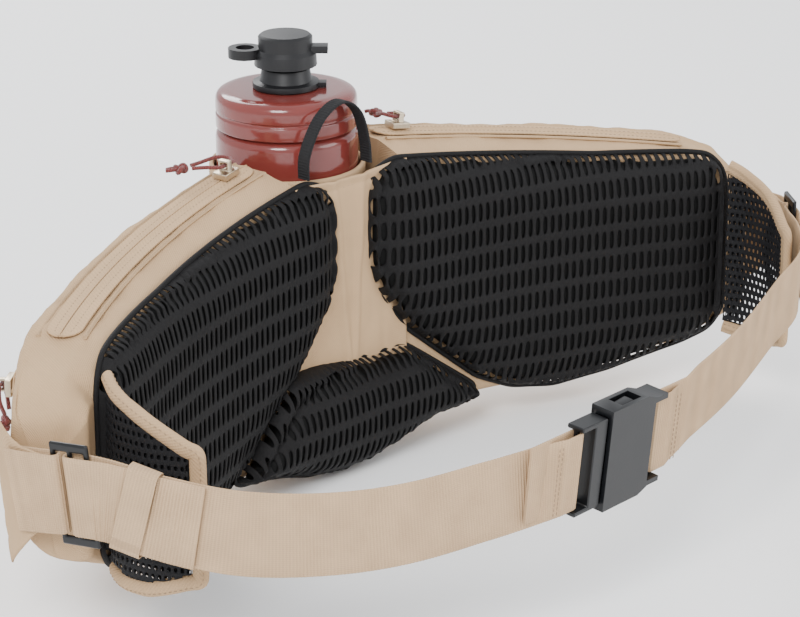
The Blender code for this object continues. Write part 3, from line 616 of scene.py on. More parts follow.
def zip_strip(name, arc, radius, angles, width, lift, node, upright=False):
    """A zip's tape with its two rows of coil, on an arc; its ends are round."""
    up = lift_sign(arc) if not upright else 1.0
    profile = [(-1, 0.1), (-0.97, 1.0), (-0.5, 1.1), (-0.2, 1.25), (-0.13, 1.9), (-0.05, 1.8), (-0.02, 0.7),
               (0.02, 0.7), (0.05, 1.8), (0.13, 1.9), (0.2, 1.25), (0.5, 1.1), (0.97, 1.0), (1, 0.1)]
    reach = math.radians(angles[1] - angles[0]) * radius
    rows = []
    count = int(reach / 1.2)
    for k in range(count + 1):
        share = k / count
        end = min(share, 1 - share) * reach
        narrow = math.sqrt(max(0.02, 1 - max(0.0, 1 - end / (width / 2)) ** 2))
        degrees = angles[0] + (angles[1] - angles[0]) * share
        row = []
        for w, h in profile:
            across = w * width / 2 * narrow
            rise = lift - 0.3 + h * 0.75
            if upright:
                row.append(arc_point(arc, radius + rise, degrees, across))
            else:
                row.append(arc_point(arc, radius + across, degrees, up * rise))
        rows.append([tuple(p) for p in row])
    rows = np.array(rows)
    tape = piece(name, grid_mesh(name, rows, sharp_deg=60), TAPE, "bag", (node,))
    thicken(tape, 0.5)
    middle = (rows[:, 6] + rows[:, 7]) / 2
    ups = (rows[:, 9] - rows[:, 4]) / 2
    ups /= np.linalg.norm(ups, axis=1, keepdims=True)
    # A dark tube in the groove between the two coil rows: painted shade.
    dark = sweep(name + "_gap", middle[2:-2], ups[2:-2], round_section(0.55, 0.35, 6))
    piece(name + "_gap", dark, ZIP_GAP_SHADE, "bag")
    side = np.cross(np.gradient(middle, axis=0), ups)
    side /= np.linalg.norm(side, axis=1, keepdims=True)
    for label, column in (("in", 2), ("out", 11)):
        stitches(f"{name}_stitch_{label}", rows[3:-3, column], side[3:-3], "bag", DARK_STITCH, 2.6, 1.7, 0.24)


def make_zips():
    for name, side in (("left", -1), ("right", 1)):
        arc = zip_frame(side)
        reach = (-ZIP_HALF_DEG - 0.7, ZIP_HALF_DEG + 0.7)
        zip_strip(name + "_zip", arc, ZIP_R, reach, ZIP_TAPE, TAPE_LIFT, name + "_zip_tape")
        up = lift_sign(arc)
        for label, offset, drop in (("outer", 11.2, -0.5), ("inner", -10.6, -0.4)):
            line = np.array([tuple(arc_point(arc, ZIP_R + offset, a, up * drop))
                             for a in np.linspace(-ZIP_HALF_DEG - 0.5, ZIP_HALF_DEG + 0.4, 90)])
            ups = np.tile((0.0, 0.0, 1.0), (len(line), 1))
            piping = sweep(f"{name}_zip_piping_{label}", line, ups, round_section(0.9, 1.1, 8))
            piece(f"{name}_zip_piping_{label}", piping, BIND, "bag")
    reach = (FRONT_FROM_DEG - 1.4, FRONT_TO_DEG + 1.4)
    zip_strip("front_zip", front_zip_frame(), OUTER_R, reach, FRONT_TAPE, TAPE_LIFT, "front_zip_tape", upright=True)


# ---------------------------------------------------------------- pockets and back


def outer_t(u):
    shift = OUTER_DEPTH - OUTER_R + WRAP_R
    a = u / WRAP_R
    return shift * np.cos(a) + np.sqrt(OUTER_R ** 2 - (shift * np.sin(a)) ** 2) - WRAP_R


def zip_heights(side):
    arc = zip_frame(side)
    rows = []
    for k in range(13):
        point = arc_point(arc, ZIP_R, -ZIP_HALF_DEG + k * ZIP_HALF_DEG / 6)
        radius = math.hypot(point.x, point.y + WRAP_R)
        rows.append((WRAP_R * math.atan2(abs(point.x), point.y + WRAP_R), radius - WRAP_R, point.z))
    return rows + [(240.0, rows[-1][1], -31.0), (250.0, rows[-1][1] - 1, -43.0)]


def rounded(points, radii, corner=4, run=6):
    """A closed outline with rounded corners; the number of points depends only on the number of corners."""
    points = [np.array(p, float) for p in points]
    made = []
    n = len(points)
    for k, (point, radius) in enumerate(zip(points, radii)):
        before, after = points[k - 1], points[(k + 1) % n]
        a, b = before - point, after - point
        la, lb = np.linalg.norm(a), np.linalg.norm(b)
        start = point + a / la * min(radius, 0.45 * la)
        end = point + b / lb * min(radius, 0.45 * lb)
        for j in range(corner + 1):
            f = j / corner
            made.append(start * (1 - f) ** 2 + 2 * point * f * (1 - f) + end * f * f)
        next_start = after + (point - after) / lb * min(radii[(k + 1) % n], 0.45 * lb)
        for j in range(1, run):
            made.append(end + (next_start - end) * j / run)
    return np.array(made)


def folds(place, seed, size, stretch=(1, 1, 1)):
    x, y, z = (place[k] / size * stretch[k] for k in range(3))
    point = Vector((x, y, z + seed))
    return noise.fractal(point, 0.8, 2.0, 3)


def make_pocket(name, side, seed):
    zip_line = zip_heights(side)
    zip_t = [(a, t) for a, t, _ in zip_line]
    zip_z = [(a, z) for a, _, z in zip_line]
    stations = list(np.linspace(POCKET_FROM, POCKET_TO, 110))
    rings = []
    for u in stations:
        tz, zz, zb = between(zip_t, u), between(zip_z, u), between(POCKET_BOTTOM, u)
        zi = min(between(PAD_TOP, u) + 1.5, zz - 1.0)
        out = outer_t(u)
        ridge = zz + (2.5 if side > 0 else 0.3) + 4.0 * max(0.0, 1 - u / 90)
        section = [(PANEL_T, zb + 1), (PANEL_T, zi), (tz - 9.5, zz), (tz + 9.5, zz - 0.3),
                   (min(37.0, out - 3), ridge), (out - 0.5, zz - 14), (out, (zz + zb) / 2),
                   (out - 4, zb + 15), (out - 14, zb + 2), (8, zb)]
        outline = rounded(section, (5, 4, 2, 1.5, 7, 12, 40, 16, 12, 9))
        rings.append(outline)
    rings = np.array(rings)
    middle = rings.mean(1)
    points = [wrap(side * u, ring[:, 0], ring[:, 1]) for u, ring in zip(stations, rings)]
    for reach, scale in ((1.6, 0.93), (2.6, 0.80), (3.0, 0.55), (3.1, 0.2)):
        ring = middle[-1] + (rings[-1] - middle[-1]) * scale
        points.append(wrap(side * (POCKET_TO + reach), ring[:, 0], ring[:, 1]))
    for scale in (0.93, 0.6, 0.2):
        ring = middle[0] + (rings[0] - middle[0]) * scale
        points.insert(0, wrap(side * (POCKET_FROM - 0.2), ring[:, 0], ring[:, 1]))
    points = np.array(points)
    mesh = grid_mesh(name, points, ring=True, caps=True, sharp_deg=75)
    crease(mesh, points, seed)
    return piece(name, mesh, SHELL, "bag", (name.replace("_shell", ""),))


def crease(mesh, points, seed):
    """Slack cloth: broad dents, and short puckers that die away from the zip and the seams."""
    count = len(mesh.vertices)
    flat = points.reshape(-1, 3)
    columns = points.shape[1]
    moved = np.zeros((count, 3))
    for i, vertex in enumerate(mesh.vertices):
        place = flat[i]
        column = i % columns
        broad = folds(place, seed, 55.0, (1, 1, 0.6)) * 1.3
        fine = folds(place, seed + 7, 17.0, (1.6, 1.6, 0.5)) * 0.45
        near_seam = min(abs(column - 26), abs(column - 37)) / 4.0
        pucker = math.exp(-near_seam ** 2) * 0.45 * math.sin(np.linalg.norm(place[:2]) / 2.4)
        inner = -0.75 if column < 12 else 1.0
        moved[i] = np.array(vertex.normal) * (broad + fine + pucker - 0.6) * inner
        if 22 <= column <= 34:
            moved[i] *= 0.35
        if column < 12:
            moved[i] *= 0.3
    mesh.vertices.foreach_set("co", ((flat + moved) * MM).astype(np.float32).ravel())
    mesh.update()


def make_spine():
    """The panel between the pads: plain cloth with a pleat on each side and a hem along the top."""
    us = np.linspace(-39.5, 39.5, 90)
    rows = []
    for share in np.linspace(0, 1, 130):
        low = -156 + 15 * (us / 37.0) ** 2
        high = -0.8 - 0.8 * np.cos(us / 12.0)
        z = high + (low - high) * share
        pleat = 1.5 * np.exp(-((us + 12 + 0.10 * z) / 2.6) ** 2)
        pleat = pleat + 1.3 * np.exp(-((us - 9 - 0.06 * z) / 2.2) ** 2)
        hem = 0.7 * np.exp(-((z + 1.5) / 1.6) ** 2) - 0.5 * np.exp(-((z + 6.0) / 0.9) ** 2)
        slack = np.array([folds((u, 0, zz), 3.0, 26.0, (1.5, 1, 0.5)) for u, zz in zip(us, z)]) * 0.9
        fade = np.clip((39.5 - np.abs(us)) / 10, 0, 1)
        t = PANEL_T - 0.5 - (pleat * fade + hem + slack * fade + 0.5)
        rows.append(wrap(us, t, z))
    mesh = grid_mesh("spine_cloth", np.array(rows), sharp_deg=80)
    panel = piece("spine_cloth", mesh, SHELL, "bag", ("spine_panel",))
    thicken(panel, 1.2, offset=1.0)
    line = wrap(np.linspace(-30, 20, 60), PANEL_T - 1.6, -6.5)
    outs = np.tile((0, -1, 0), (60, 1))
    stitches("spine_hem_top", line, outs, "bag", DARK_STITCH, 3.0, 1.9, 0.26)


def cushion(node, name, cap=3.0):
    """The pad's foam: a closed pillow, swollen by cloth simulation, with its back held flat."""
    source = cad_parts[node].data
    bm = bmesh.new()
    bm.from_mesh(source)
    bmesh.ops.remove_doubles(bm, verts=bm.verts, dist=0.00001)
    mesh = bpy.data.meshes.new(name)
    bm.to_mesh(mesh)
    bm.free()
    obj = bpy.data.objects.new(name, mesh)
    bpy.context.scene.collection.objects.link(obj)
    remesh = obj.modifiers.new("even", "REMESH")
    remesh.mode = "VOXEL"
    remesh.voxel_size = 0.004
    graph = bpy.context.evaluated_depsgraph_get()
    even = bpy.data.meshes.new_from_object(obj.evaluated_get(graph))
    obj.modifiers.clear()
    obj.data = even
    rest = np.zeros(len(even.vertices) * 3)
    even.vertices.foreach_get("co", rest)
    rest = rest.reshape(-1, 3)
    reach = np.hypot(rest[:, 0], rest[:, 1] + WRAP_R * MM) - (WRAP_R + PANEL_T - GAP) * MM
    held = obj.vertex_groups.new(name="back")
    held.add([int(i) for i in np.nonzero(reach > -0.0012)[0]], 1.0, "REPLACE")
    cloth = obj.modifiers.new("swell", "CLOTH")
    cloth.settings.quality = 6
    cloth.settings.mass = 0.3
    cloth.settings.tension_stiffness = 12
    cloth.settings.compression_stiffness = 12
    cloth.settings.use_pressure = True
    cloth.settings.uniform_pressure_force = 4.0
    cloth.settings.vertex_group_mass = "back"
    cloth.settings.effector_weights.gravity = 0
    cloth.collision_settings.use_collision = False
    cloth.point_cache.frame_start = 1
    cloth.point_cache.frame_end = 20
    for step in range(1, 21):
        bpy.context.scene.frame_set(step)
    graph = bpy.context.evaluated_depsgraph_get()
    swollen = bpy.data.meshes.new_from_object(obj.evaluated_get(graph))
    now = np.zeros(len(swollen.vertices) * 3)
    swollen.vertices.foreach_get("co", now)
    move = now.reshape(-1, 3) - rest
    far = np.linalg.norm(move, axis=1, keepdims=True)
    move *= np.minimum(1.0, cap * MM / np.maximum(far, 1e-9))
    obj.modifiers.clear()
    obj.vertex_groups.clear()
    bpy.context.scene.frame_set(1)
    even.vertices.foreach_set("co", (rest + move).astype(np.float32).ravel())
    even.update()
    smooth_shade(even, 80)
    even.materials.clear()
    even.materials.append(FOAM)
    relax = obj.modifiers.new("relax", "SMOOTH")
    relax.factor = 0.5
    relax.iterations = 4
    soften(obj, 1)
    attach(obj, "bag")
    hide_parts(node)
    return obj


def lens(half_width, half_height, sides):
    """Points of a pointed oval, one for each side of the cell round it."""
    made = []
    for angle in sides:
        c, s = math.cos(angle), math.sin(angle)
        across = half_width * math.copysign(abs(c) ** 1.15, c)
        made.append((across, half_height * math.copysign(abs(s) ** 0.9, s)))
    return made


def net_cells(u_range, z_range, pitch, hole, keep, stagger):
    """Vertices (u, z) and faces of a net of oval holes; keep(u, z) says whether a cell is wanted."""
    w, h = pitch[0] / 2, pitch[1] / 2
    rim = [(w, -h), (w, -h / 2), (w, 0), (w, h / 2), (w, h), (0, h), (-w, h), (-w, h / 2), (-w, 0),
           (-w, -h / 2), (-w, -h), (0, -h)]
    angles = [math.atan2(z / h, u / w) for u, z in rim]
    inner = lens(hole[0], hole[1], angles)
    places, faces, known = [], [], {}

    def vertex(u, z):
        key = (round(u * 7.3 + 0.217), round(z * 7.3 + 0.31))
        if key not in known:
            known[key] = len(places)
            places.append((u, z))
        return known[key]

    rows = int((z_range[1] - z_range[0]) / pitch[1]) + 1
    columns = int((u_range[1] - u_range[0]) / pitch[0]) + 2
    for j in range(rows):
        z = z_range[0] + (j + 0.5) * pitch[1]
        shift = w if stagger and j % 2 else 0.0
        for i in range(columns):
            u = u_range[0] + i * pitch[0] + shift
            if not keep(u, z):
                continue
            outside = [vertex(u + a, z + b) for a, b in rim]
            inside = [vertex(u + a, z + b) for a, b in inner]
            for k in range(len(rim)):
                n = (k + 1) % len(rim)
                faces.append((outside[k], outside[n], inside[n], inside[k]))
    return np.array(places), faces


def pad_outline(top, bottom, grow):
    """A pad's closed outline, (u, z) with rounded corners, a little larger than its foam."""
    corners = np.array(list(top) + list(reversed(bottom)) + [top[0]], float)
    line = spaced(corners, 1.5)[:-1]
    for _ in range(8):
        line = (np.roll(line, 1, 0) + 2 * line + np.roll(line, -1, 0)) / 4
    ahead = np.roll(line, -1, 0) - np.roll(line, 1, 0)
    ahead /= np.linalg.norm(ahead, axis=1, keepdims=True)
    return line + grow * np.stack([-ahead[:, 1], ahead[:, 0]], 1)


def inside_outline(places, outline):
    """How far inside the outline each place is, in mm, and the outline's nearest point to it."""
    ahead = np.roll(outline, -1, 0) - outline
    square = (ahead ** 2).sum(1)
    rise = np.where(np.abs(ahead[:, 1]) < 1e-9, 1e-9, ahead[:, 1])
    following = np.roll(outline[:, 1], -1)
    depths, nearest = np.zeros(len(places)), np.zeros((len(places), 2))
    for i, (u, z) in enumerate(places):
        along = (u - outline[:, 0]) * ahead[:, 0] + (z - outline[:, 1]) * ahead[:, 1]
        share = np.clip(along / square, 0, 1)
        spots = outline + ahead * share[:, None]
        gaps = np.hypot(spots[:, 0] - u, spots[:, 1] - z)
        k = int(gaps.argmin())
        crossed = (outline[:, 1] > z) != (following > z)
        beyond = outline[:, 0] + (z - outline[:, 1]) * ahead[:, 0] / rise > u
        depths[i] = gaps[k] if np.count_nonzero(crossed & beyond) % 2 else -gaps[k]
        nearest[i] = spots[k]
    return depths, nearest


def lay_net(name, foam, outline, mirror, depth, rise=1.4, edge=6.5):
    """Spacer mesh: a thick net of oval holes over the pad's foam, turned down to the cloth at its edge."""
    graph = bpy.context.evaluated_depsgraph_get()
    surface = foam.evaluated_get(graph)
    shape = surface.to_mesh()
    corners = [tuple(v.co) for v in shape.vertices]
    tree = BVHTree.FromPolygons(corners, [tuple(p.vertices) for p in shape.polygons])
    surface.to_mesh_clear()
    (left, low), (right, high) = outline.min(0), outline.max(0)
    places, faces = net_cells((left - 3, right + 3), (low - 7, high + 7), MESH_PITCH, MESH_HOLE,
                              lambda u, z: True, False)
    inside, nearest = inside_outline(places, outline)
    places[inside <= 0] = nearest[inside <= 0]
    points = np.zeros((len(places), 3))
    for i, (u, z) in enumerate(places):
        share = min(1.0, max(0.0, inside[i]) / edge)
        curve = math.sqrt(1 - (1 - share) ** 2)
        away = Vector(wrap(mirror * u, 1.0, 0)) - Vector(wrap(mirror * u, 0.0, 0))
        hit = tree.ray_cast(Vector(wrap(mirror * u, -60.0, z) * MM), away, 0.075)[0]
        t = PANEL_T - depth
        if hit:
            t = math.hypot(hit.x, hit.y + WRAP_R * MM) / MM - WRAP_R - rise
        shown = PANEL_T - 0.2 + (t - PANEL_T + 0.2) * curve
        if hit and inside[i] > 1.5:
            shown = min(shown, t + rise - 0.6)
        points[i] = wrap(mirror * u, shown, z)
    faces = [f for f in faces if max(inside[v] for v in f) > 0.05]
    mesh = bpy.data.meshes.new(name)
    mesh.from_pydata((points * MM).tolist(), [], faces)
    bm = bmesh.new()
    bm.from_mesh(mesh)
    bmesh.ops.delete(bm, geom=[v for v in bm.verts if not v.link_faces], context="VERTS")
    bmesh.ops.remove_doubles(bm, verts=bm.verts, dist=0.00002)
    bm.to_mesh(mesh)
    bm.free()
    outward(mesh)
    mesh.shade_smooth()
    if sum(p.normal.y for p in mesh.polygons) > 0:
        mesh.flip_normals()
    net = piece(name, mesh, KNIT, "bag")
    thicken(net, 1.1, 1)
    line = wrap(mirror * outline[:, 0], PANEL_T - 0.9, outline[:, 1])
    line = np.vstack([line, line[:2]])
    outs = line - np.array((0, -WRAP_R, 0))
    outs[:, 2] = 0
    outs /= np.linalg.norm(outs, axis=1, keepdims=True)
    seam = sweep(name + "_seam", line, outs, round_section(1.3, 1.5, 10))
    piece(name + "_seam", seam, KNIT, "bag")


def make_back():
    for name, side, seed in (("left_pocket_shell", -1, 1.0), ("right_pocket_shell", 1, 5.0)):
        make_pocket(name, side, seed)
    make_spine()
    for name, side in (("left", -1), ("right", 1)):
        foam = cushion(name + "_pad", name + "_pad_foam")
        lay_net(name + "_pad_mesh", foam, pad_outline(PAD_TOP, PAD_BOTTOM, 1.6), side, 10.0)
    foam = cushion("lumbar_pad", "lumbar_pad_foam", 4.0)
    lay_net("lumbar_pad_mesh", foam, pad_outline(LUMBAR_TOP_SHOWN, LUMBAR_BOTTOM, 1.6), 1, 15.0)


# ---------------------------------------------------------------- hip flaps


def flap_edge(side, gap):
    plan = catmull(FLAP_PLAN, 4)
    top = catmull([(z,) for z in FLAP_TOP], 4)[:, 0]
    low = catmull([(z,) for z in FLAP_BOTTOM], 4)[:, 0]
    over = [(x * side, y, z + gap) for (x, y), z in zip(plan, top)]
    under = [(x * side, y, z - gap) for (x, y), z in zip(plan, low)]
    ahead = plan[-1] - plan[-2]
    tip = plan[-1] + ahead / np.linalg.norm(ahead) * gap
    ends = [(tip[0] * side, tip[1], over[-1][2]), (tip[0] * side, tip[1], under[-1][2])]
    return over + ends + list(reversed(under))


def make_flap(prefix, side):
    plan = spaced(catmull(FLAP_PLAN, 8), 1.0)
    run = np.linspace(0, 1, len(plan))
    top = np.interp(run, np.linspace(0, 1, 4), FLAP_TOP)
    low = np.interp(run, np.linspace(0, 1, 4), FLAP_BOTTOM)
    tangent = np.gradient(plan, axis=0)
    tangent /= np.linalg.norm(tangent, axis=1, keepdims=True)
    total = len(plan) - 1.0
    for layer, (depth, seed) in enumerate(((1.2, 0.0), (-1.2, 1.4))):
        def keep(u, z):
            k = int(np.clip(u, 0, total))
            return 0 <= u <= total and low[k] - 1 <= z <= top[k] + 1
        places, faces = net_cells((seed * 0.5, total), (-120 - seed, -30), NET_PITCH, NET_HOLE, keep, True)
        u = np.clip(places[:, 0], 0, total)
        x = np.interp(u, np.arange(len(plan)), plan[:, 0])
        y = np.interp(u, np.arange(len(plan)), plan[:, 1])
        tx = np.interp(u, np.arange(len(plan)), tangent[:, 0])
        ty = np.interp(u, np.arange(len(plan)), tangent[:, 1])
        wave = 0.35 * np.sin(places[:, 1] / 7.0 + seed) + depth
        lowest, highest = (np.interp(u, np.arange(len(plan)), edge) for edge in (low, top))
        z = np.clip(places[:, 1], lowest, highest)
        points = np.stack([(x + ty * wave) * side, y - tx * wave, z], 1)
        mesh = bpy.data.meshes.new(f"{prefix}_flap_net_{layer}")
        mesh.from_pydata((points * MM).tolist(), [], faces)
        outward(mesh)
        mesh.shade_smooth()
        node = (prefix + "_hip_flap",) if layer == 0 else ()
        net = piece(f"{prefix}_flap_net_{layer}", mesh, NET, "bag", node)
        thicken(net, 0.7, 1, 0.0)
    edge = spaced(flap_edge(side, BINDING_R + GAP), 1.2)
    edge[1:-1] = (edge[:-2] + edge[1:-1] * 2 + edge[2:]) / 4
    for _ in range(5):
        edge[1:-1] = (edge[:-2] + edge[1:-1] * 2 + edge[2:]) / 4
    outs = np.zeros_like(edge)
    for i, point in enumerate(edge):
        k = int(np.argmin(np.hypot(plan[:, 0] * side - point[0], plan[:, 1] - point[1])))
        outs[i] = (tangent[k][1] * side, -tangent[k][0], 0)
    section = round_section(2.7, 3.9, 16)
    binding = sweep(prefix + "_flap_edge", edge, outs, section, sharp_deg=80)
    ripple(binding, 0.25, 9.0)
    piece(prefix + "_flap_edge", binding, BIND, "bag", (prefix + "_flap_binding",))
    _, inward = frames_along(edge, outs)
    for face in (-1, 1):
        line = edge + outs * 2.45 * face + inward * 1.9
        stitches(f"{prefix}_flap_stitch_{'out' if face > 0 else 'in'}", line, outs * face, "bag", DARK_STITCH,
                 2.6, 1.7, 0.22)


def ripple(mesh, height, size):
    """Small uneven swellings along the normals, as sewn cloth has."""
    for vertex in mesh.vertices:
        bump = noise.noise(vertex.co / (size * MM))
        vertex.co += vertex.normal * bump * height * MM
    mesh.update()


# ---------------------------------------------------------------- belt


def belt_rows():
    points = catmull(BELT, BELT_STEPS)
    length = np.concatenate([[0], np.cumsum(np.linalg.norm(np.diff(points[:, :3], axis=0), axis=1))])
    return np.hstack([length[:, None], points])


ROWS = belt_rows()
LEFT_S, BUCKLE_S, RIGHT_S = (ROWS[k * BELT_STEPS][0] for k in (LEFT_GLIDE, BUCKLE, RIGHT_GLIDE))


def belt_frame(s):
    """The belt's frame at a distance along it: X along, Y towards the wearer, Z up the webbing."""
    x, y, z, lean = (float(np.interp(s, ROWS[:, 0], ROWS[:, k])) for k in (1, 2, 3, 4))
    ahead = Vector([float(np.interp(s + 3.0, ROWS[:, 0], ROWS[:, k])) for k in (1, 2, 3)])
    behind = Vector([float(np.interp(s - 3.0, ROWS[:, 0], ROWS[:, k])) for k in (1, 2, 3)])
    along = (ahead - behind).normalized()
    inward = Vector((0, 0, 1)).cross(along).normalized()
    up = along.cross(inward).normalized()
    angle = math.radians(lean)
    leaning = up * math.cos(angle) - inward * math.sin(angle)
    matrix = Matrix((along, leaning.cross(along), leaning)).transposed().to_4x4()
    matrix.translation = (x, y, z)
    return matrix


def turn_round(matrix, bar_x, towards, steps=12):
    rows = []
    for k in range(steps + 1):
        a = math.pi / 2 - k * math.pi / steps
        rows.append((matrix, bar_x + towards * WEB_OFFSET * math.cos(a), WEB_OFFSET * math.sin(a)))
    return rows


def station_line(stations, step=0.5):
    centres = [m @ Vector((a, b, 0)) for m, a, b in stations]
    ups = [m.to_3x3() @ Vector((0, 0, 1)) for m, _, _ in stations]
    both = np.hstack([np.array([tuple(c) for c in centres]), np.array([tuple(u) for u in ups])])
    line = spaced(both, step)
    for _ in range(2):
        line[1:-1] = (line[:-2] + 2 * line[1:-1] + line[2:]) / 4
    ups = line[:, 3:] / np.linalg.norm(line[:, 3:], axis=1, keepdims=True)
    return line[:, :3], ups


def ribbon(name, stations, body, replaces, material, width=WEB_W, thickness=WEB_T, ribs=RIB_H):
    points, ups = station_line(stations)
    mesh = sweep(name, points, ups, tape_section(width, thickness - 2 * ribs), ribs)
    piece(name, mesh, material, body, replaces)
    return points, ups


def make_strap(name, glide_s, e, bar_x, tail, node):
    buckle = belt_frame(BUCKLE_S)
    glide = belt_frame(glide_s)
    length = abs(BUCKLE_S - glide_s)
    rows = [(buckle, bar_x - e * SEWN_END, WEB_OFFSET), (buckle, bar_x - e * 9, WEB_OFFSET)]
    rows += turn_round(buckle, bar_x, e)
    rows.append((buckle, bar_x - e * 9, -WEB_OFFSET))
    run_from = length - abs(bar_x) - 20
    drift = [(0, WEB_OFFSET), (10, WEB_OFFSET), (22, 1.3), (tail + 12, 1.3), (run_from - 30, 0),
             (run_from, -WEB_OFFSET)]
    for q in np.linspace(run_from, 10, 60):
        rows.append((belt_frame(glide_s + e * q), 0, between(drift, q)))
    rows += turn_round(glide, 0, -e)
    rows.append((glide, e * 8.6, -WEB_OFFSET))
    for q in (16, 24, 34, 46, tail):
        if q <= tail:
            rows.append((belt_frame(glide_s + e * q), 0, between([(10, -WEB_OFFSET), (22, -1.3)], q)))
    points, ups = ribbon(name, rows, "bag", (node,), WEB)
    sewn(name, buckle, bar_x, e)
    return points, ups


def sewn(name, buckle, bar_x, e):
    """Rows of stitches across the webbing where its end is sewn down beside the buckle."""
    for k, away in enumerate((13.0, 15.5, 24.5)):
        for face, level in (("in", WEB_OFFSET + WEB_T / 2), ("out", -WEB_OFFSET - WEB_T / 2)):
            if face == "out" and away > 20:
                continue
            line = [buckle @ Vector((bar_x - e * away, level, z)) for z in np.linspace(-17, 17, 30)]
            out = buckle.to_3x3() @ Vector((0, 1 if face == "in" else -1, 0))
            places = np.array([tuple(p) for p in line])
            stitches(f"{name}_sewn_{k}_{face}", places, np.tile(tuple(out), (30, 1)), "bag", DARK_STITCH, 2.4,
                     1.9, 0.3)


def make_anchor(prefix, glide_s, e):
    glide = belt_frame(glide_s)
    away = [34, 26, 18]
    rows = [(belt_frame(glide_s - e * q), 0, WEB_OFFSET) for q in away]
    rows += turn_round(glide, -e * 8.6, e)
    rows += [(belt_frame(glide_s - e * q), 0, -WEB_OFFSET) for q in reversed(away)]
    ribbon(prefix + "_anchor_loop", rows, "bag", (prefix + "_anchor_web",), WEB)
    grid = []
    for q in np.linspace(13, 56, 40):
        matrix = belt_frame(glide_s - e * q)
        half = float(np.interp(q, (14, 26, 40, 52, 56), (17, 20, 28, 34, 36)))
        row = []
        for share in np.linspace(-1, 1, 44):
            swell = 0.5 * folds((q, share * half, 0), glide_s, 16.0)
            row.append(tuple(matrix @ Vector((0, swell, share * half))))
        grid.append(row)
    name = prefix + "_anchor_canvas"
    mesh = grid_mesh(name, np.array(grid))
    canvas = piece(name, mesh, SHELL, "bag", (prefix + "_anchor_panel",))
    thicken(canvas, 1.3, offset=0.0)
    for label, share in (("upper", 0.93), ("lower", -0.93)):
        line, outs = [], []
        for q in np.linspace(20, 54, 26):
            matrix = belt_frame(glide_s - e * q)
            half = float(np.interp(q, (14, 26, 40, 52, 56), (17, 20, 28, 34, 36)))
            line.append(tuple(matrix @ Vector((0, 0.9, share * half))))
            outs.append(tuple(matrix.to_3x3() @ Vector((0, 1, 0))))
        stitches(f"{prefix}_canvas_stitch_{label}", np.array(line), np.array(outs), "bag", DARK_STITCH)


def make_belt():
    make_strap("left_belt", LEFT_S, 1, -35.9, TAIL_LEFT, "left_strap")
    make_strap("right_belt", RIGHT_S, -1, 21.9, TAIL_RIGHT, "right_strap")
    for prefix, s, e in (("left", LEFT_S, 1), ("right", RIGHT_S, -1)):
        refined(prefix + "_triglide", "bag", PLASTIC, 0.9)
        make_anchor(prefix, s, e)
    middle = (KEEPER[0] + KEEPER[1]) / 2
    matrix = belt_frame(LEFT_S + middle)
    outline = rounded([(-3.5, -20.4), (3.5, -20.4), (3.5, 20.4), (-3.5, 20.4)], (2.5,) * 4, 6, 10)
    grid = []
    for along in np.arange(-(KEEPER[1] - KEEPER[0]) / 2, (KEEPER[1] - KEEPER[0]) / 2 + 0.01, 0.35):
        swell = 1 + 0.012 * math.sin(2 * math.pi * along / RIB_PITCH)
        grid.append([tuple(matrix @ Vector((along, y * swell, z))) for y, z in outline])
    band = piece("keeper_band", grid_mesh("keeper_band", np.array(grid), ring=True), WEB, "keeper",
                 ("strap_keeper",))
    thicken(band, 0.5, offset=0.0)
    for node, body in (("buckle_female", "bag"), ("buckle_male", "buckle_male"),
                       ("buckle_prong_upper", "prong_upper"), ("buckle_prong_lower", "prong_lower")):
        refined(node, body, PLASTIC, 0.8)


# ---------------------------------------------------------------- bottle, sleeve and grab loop


def turned(name, profile, centre, material, body, node, radii, steps=96):
    """A closed profile of (radius, height) with rounded corners, turned about an upright axis."""
    outline = rounded(profile, radii, 3, 3)
    angles = np.linspace(0, 2 * math.pi, steps, endpoint=False)
    grid = np.array([[(centre[0] + max(r, 0.0) * math.cos(a), centre[1] + max(r, 0.0) * math.sin(a), z)
                      for a in angles] for r, z in np.vstack([outline, outline[:1]])])
    mesh = grid_mesh(name, grid, ring=True, sharp_deg=50)
    bm = bmesh.new()
    bm.from_mesh(mesh)
    bmesh.ops.remove_doubles(bm, verts=bm.verts, dist=0.000001)
    bmesh.ops.recalc_face_normals(bm, faces=bm.faces)
    bm.to_mesh(mesh)
    bm.free()
    smooth_shade(mesh, 50)
    return piece(name, mesh, material, body, (node,) if node else ())


def make_bottle():
    turned("bottle_shell", [(32, -139), (34.6, -136), (34.6, 12), (31, 14.6), (24.7, 16.4), (24.7, 29),
                            (26.5, 29), (26.5, 18.4), (33, 16.8), (36.4, 14), (36.4, -137), (33, -141), (0.05, -141),
                            (0.05, -139)],
           BOTTLE_XY, BOTTLE_RED, "bottle", "bottle_body",
           (1, 2, 2, 1, 0.5, 0.5, 0.6, 0.6, 1, 2.2, 3, 2, 0.01, 0.01))
    turned("lid_shell", [(9.4, 36.4), (30, 36.2), (34.4, 35.2), (36.2, 32.6), (36.2, 26.2), (35.5, 25.6),
                         (35.5, 24.6), (36.2, 24.0), (36.2, 17.2), (34.0, 17.2), (34.0, 32.4), (9.4, 33.8)],
           BOTTLE_XY, BOTTLE_RED, "lid", "bottle_lid",
           (0.4, 1.5, 2.0, 2.0, 0.4, 0.3, 0.3, 0.4, 0.6, 0.4, 1.0, 0.4))
    for name, body, width, slot, material in (
            ("twist_valve", "valve", 0.5, "valve_rubber", RUBBER),
            ("mud_cap", "cap", 0.55, "valve_rubber", RUBBER)):
        refined(name, body, material, width)
    refined("bite_valve", "valve", CLEAR_RUBBER, 0.4)
    refined("bottle_gasket", "lid_seal", CLEAR_RUBBER, 0.4)
    make_sleeve()


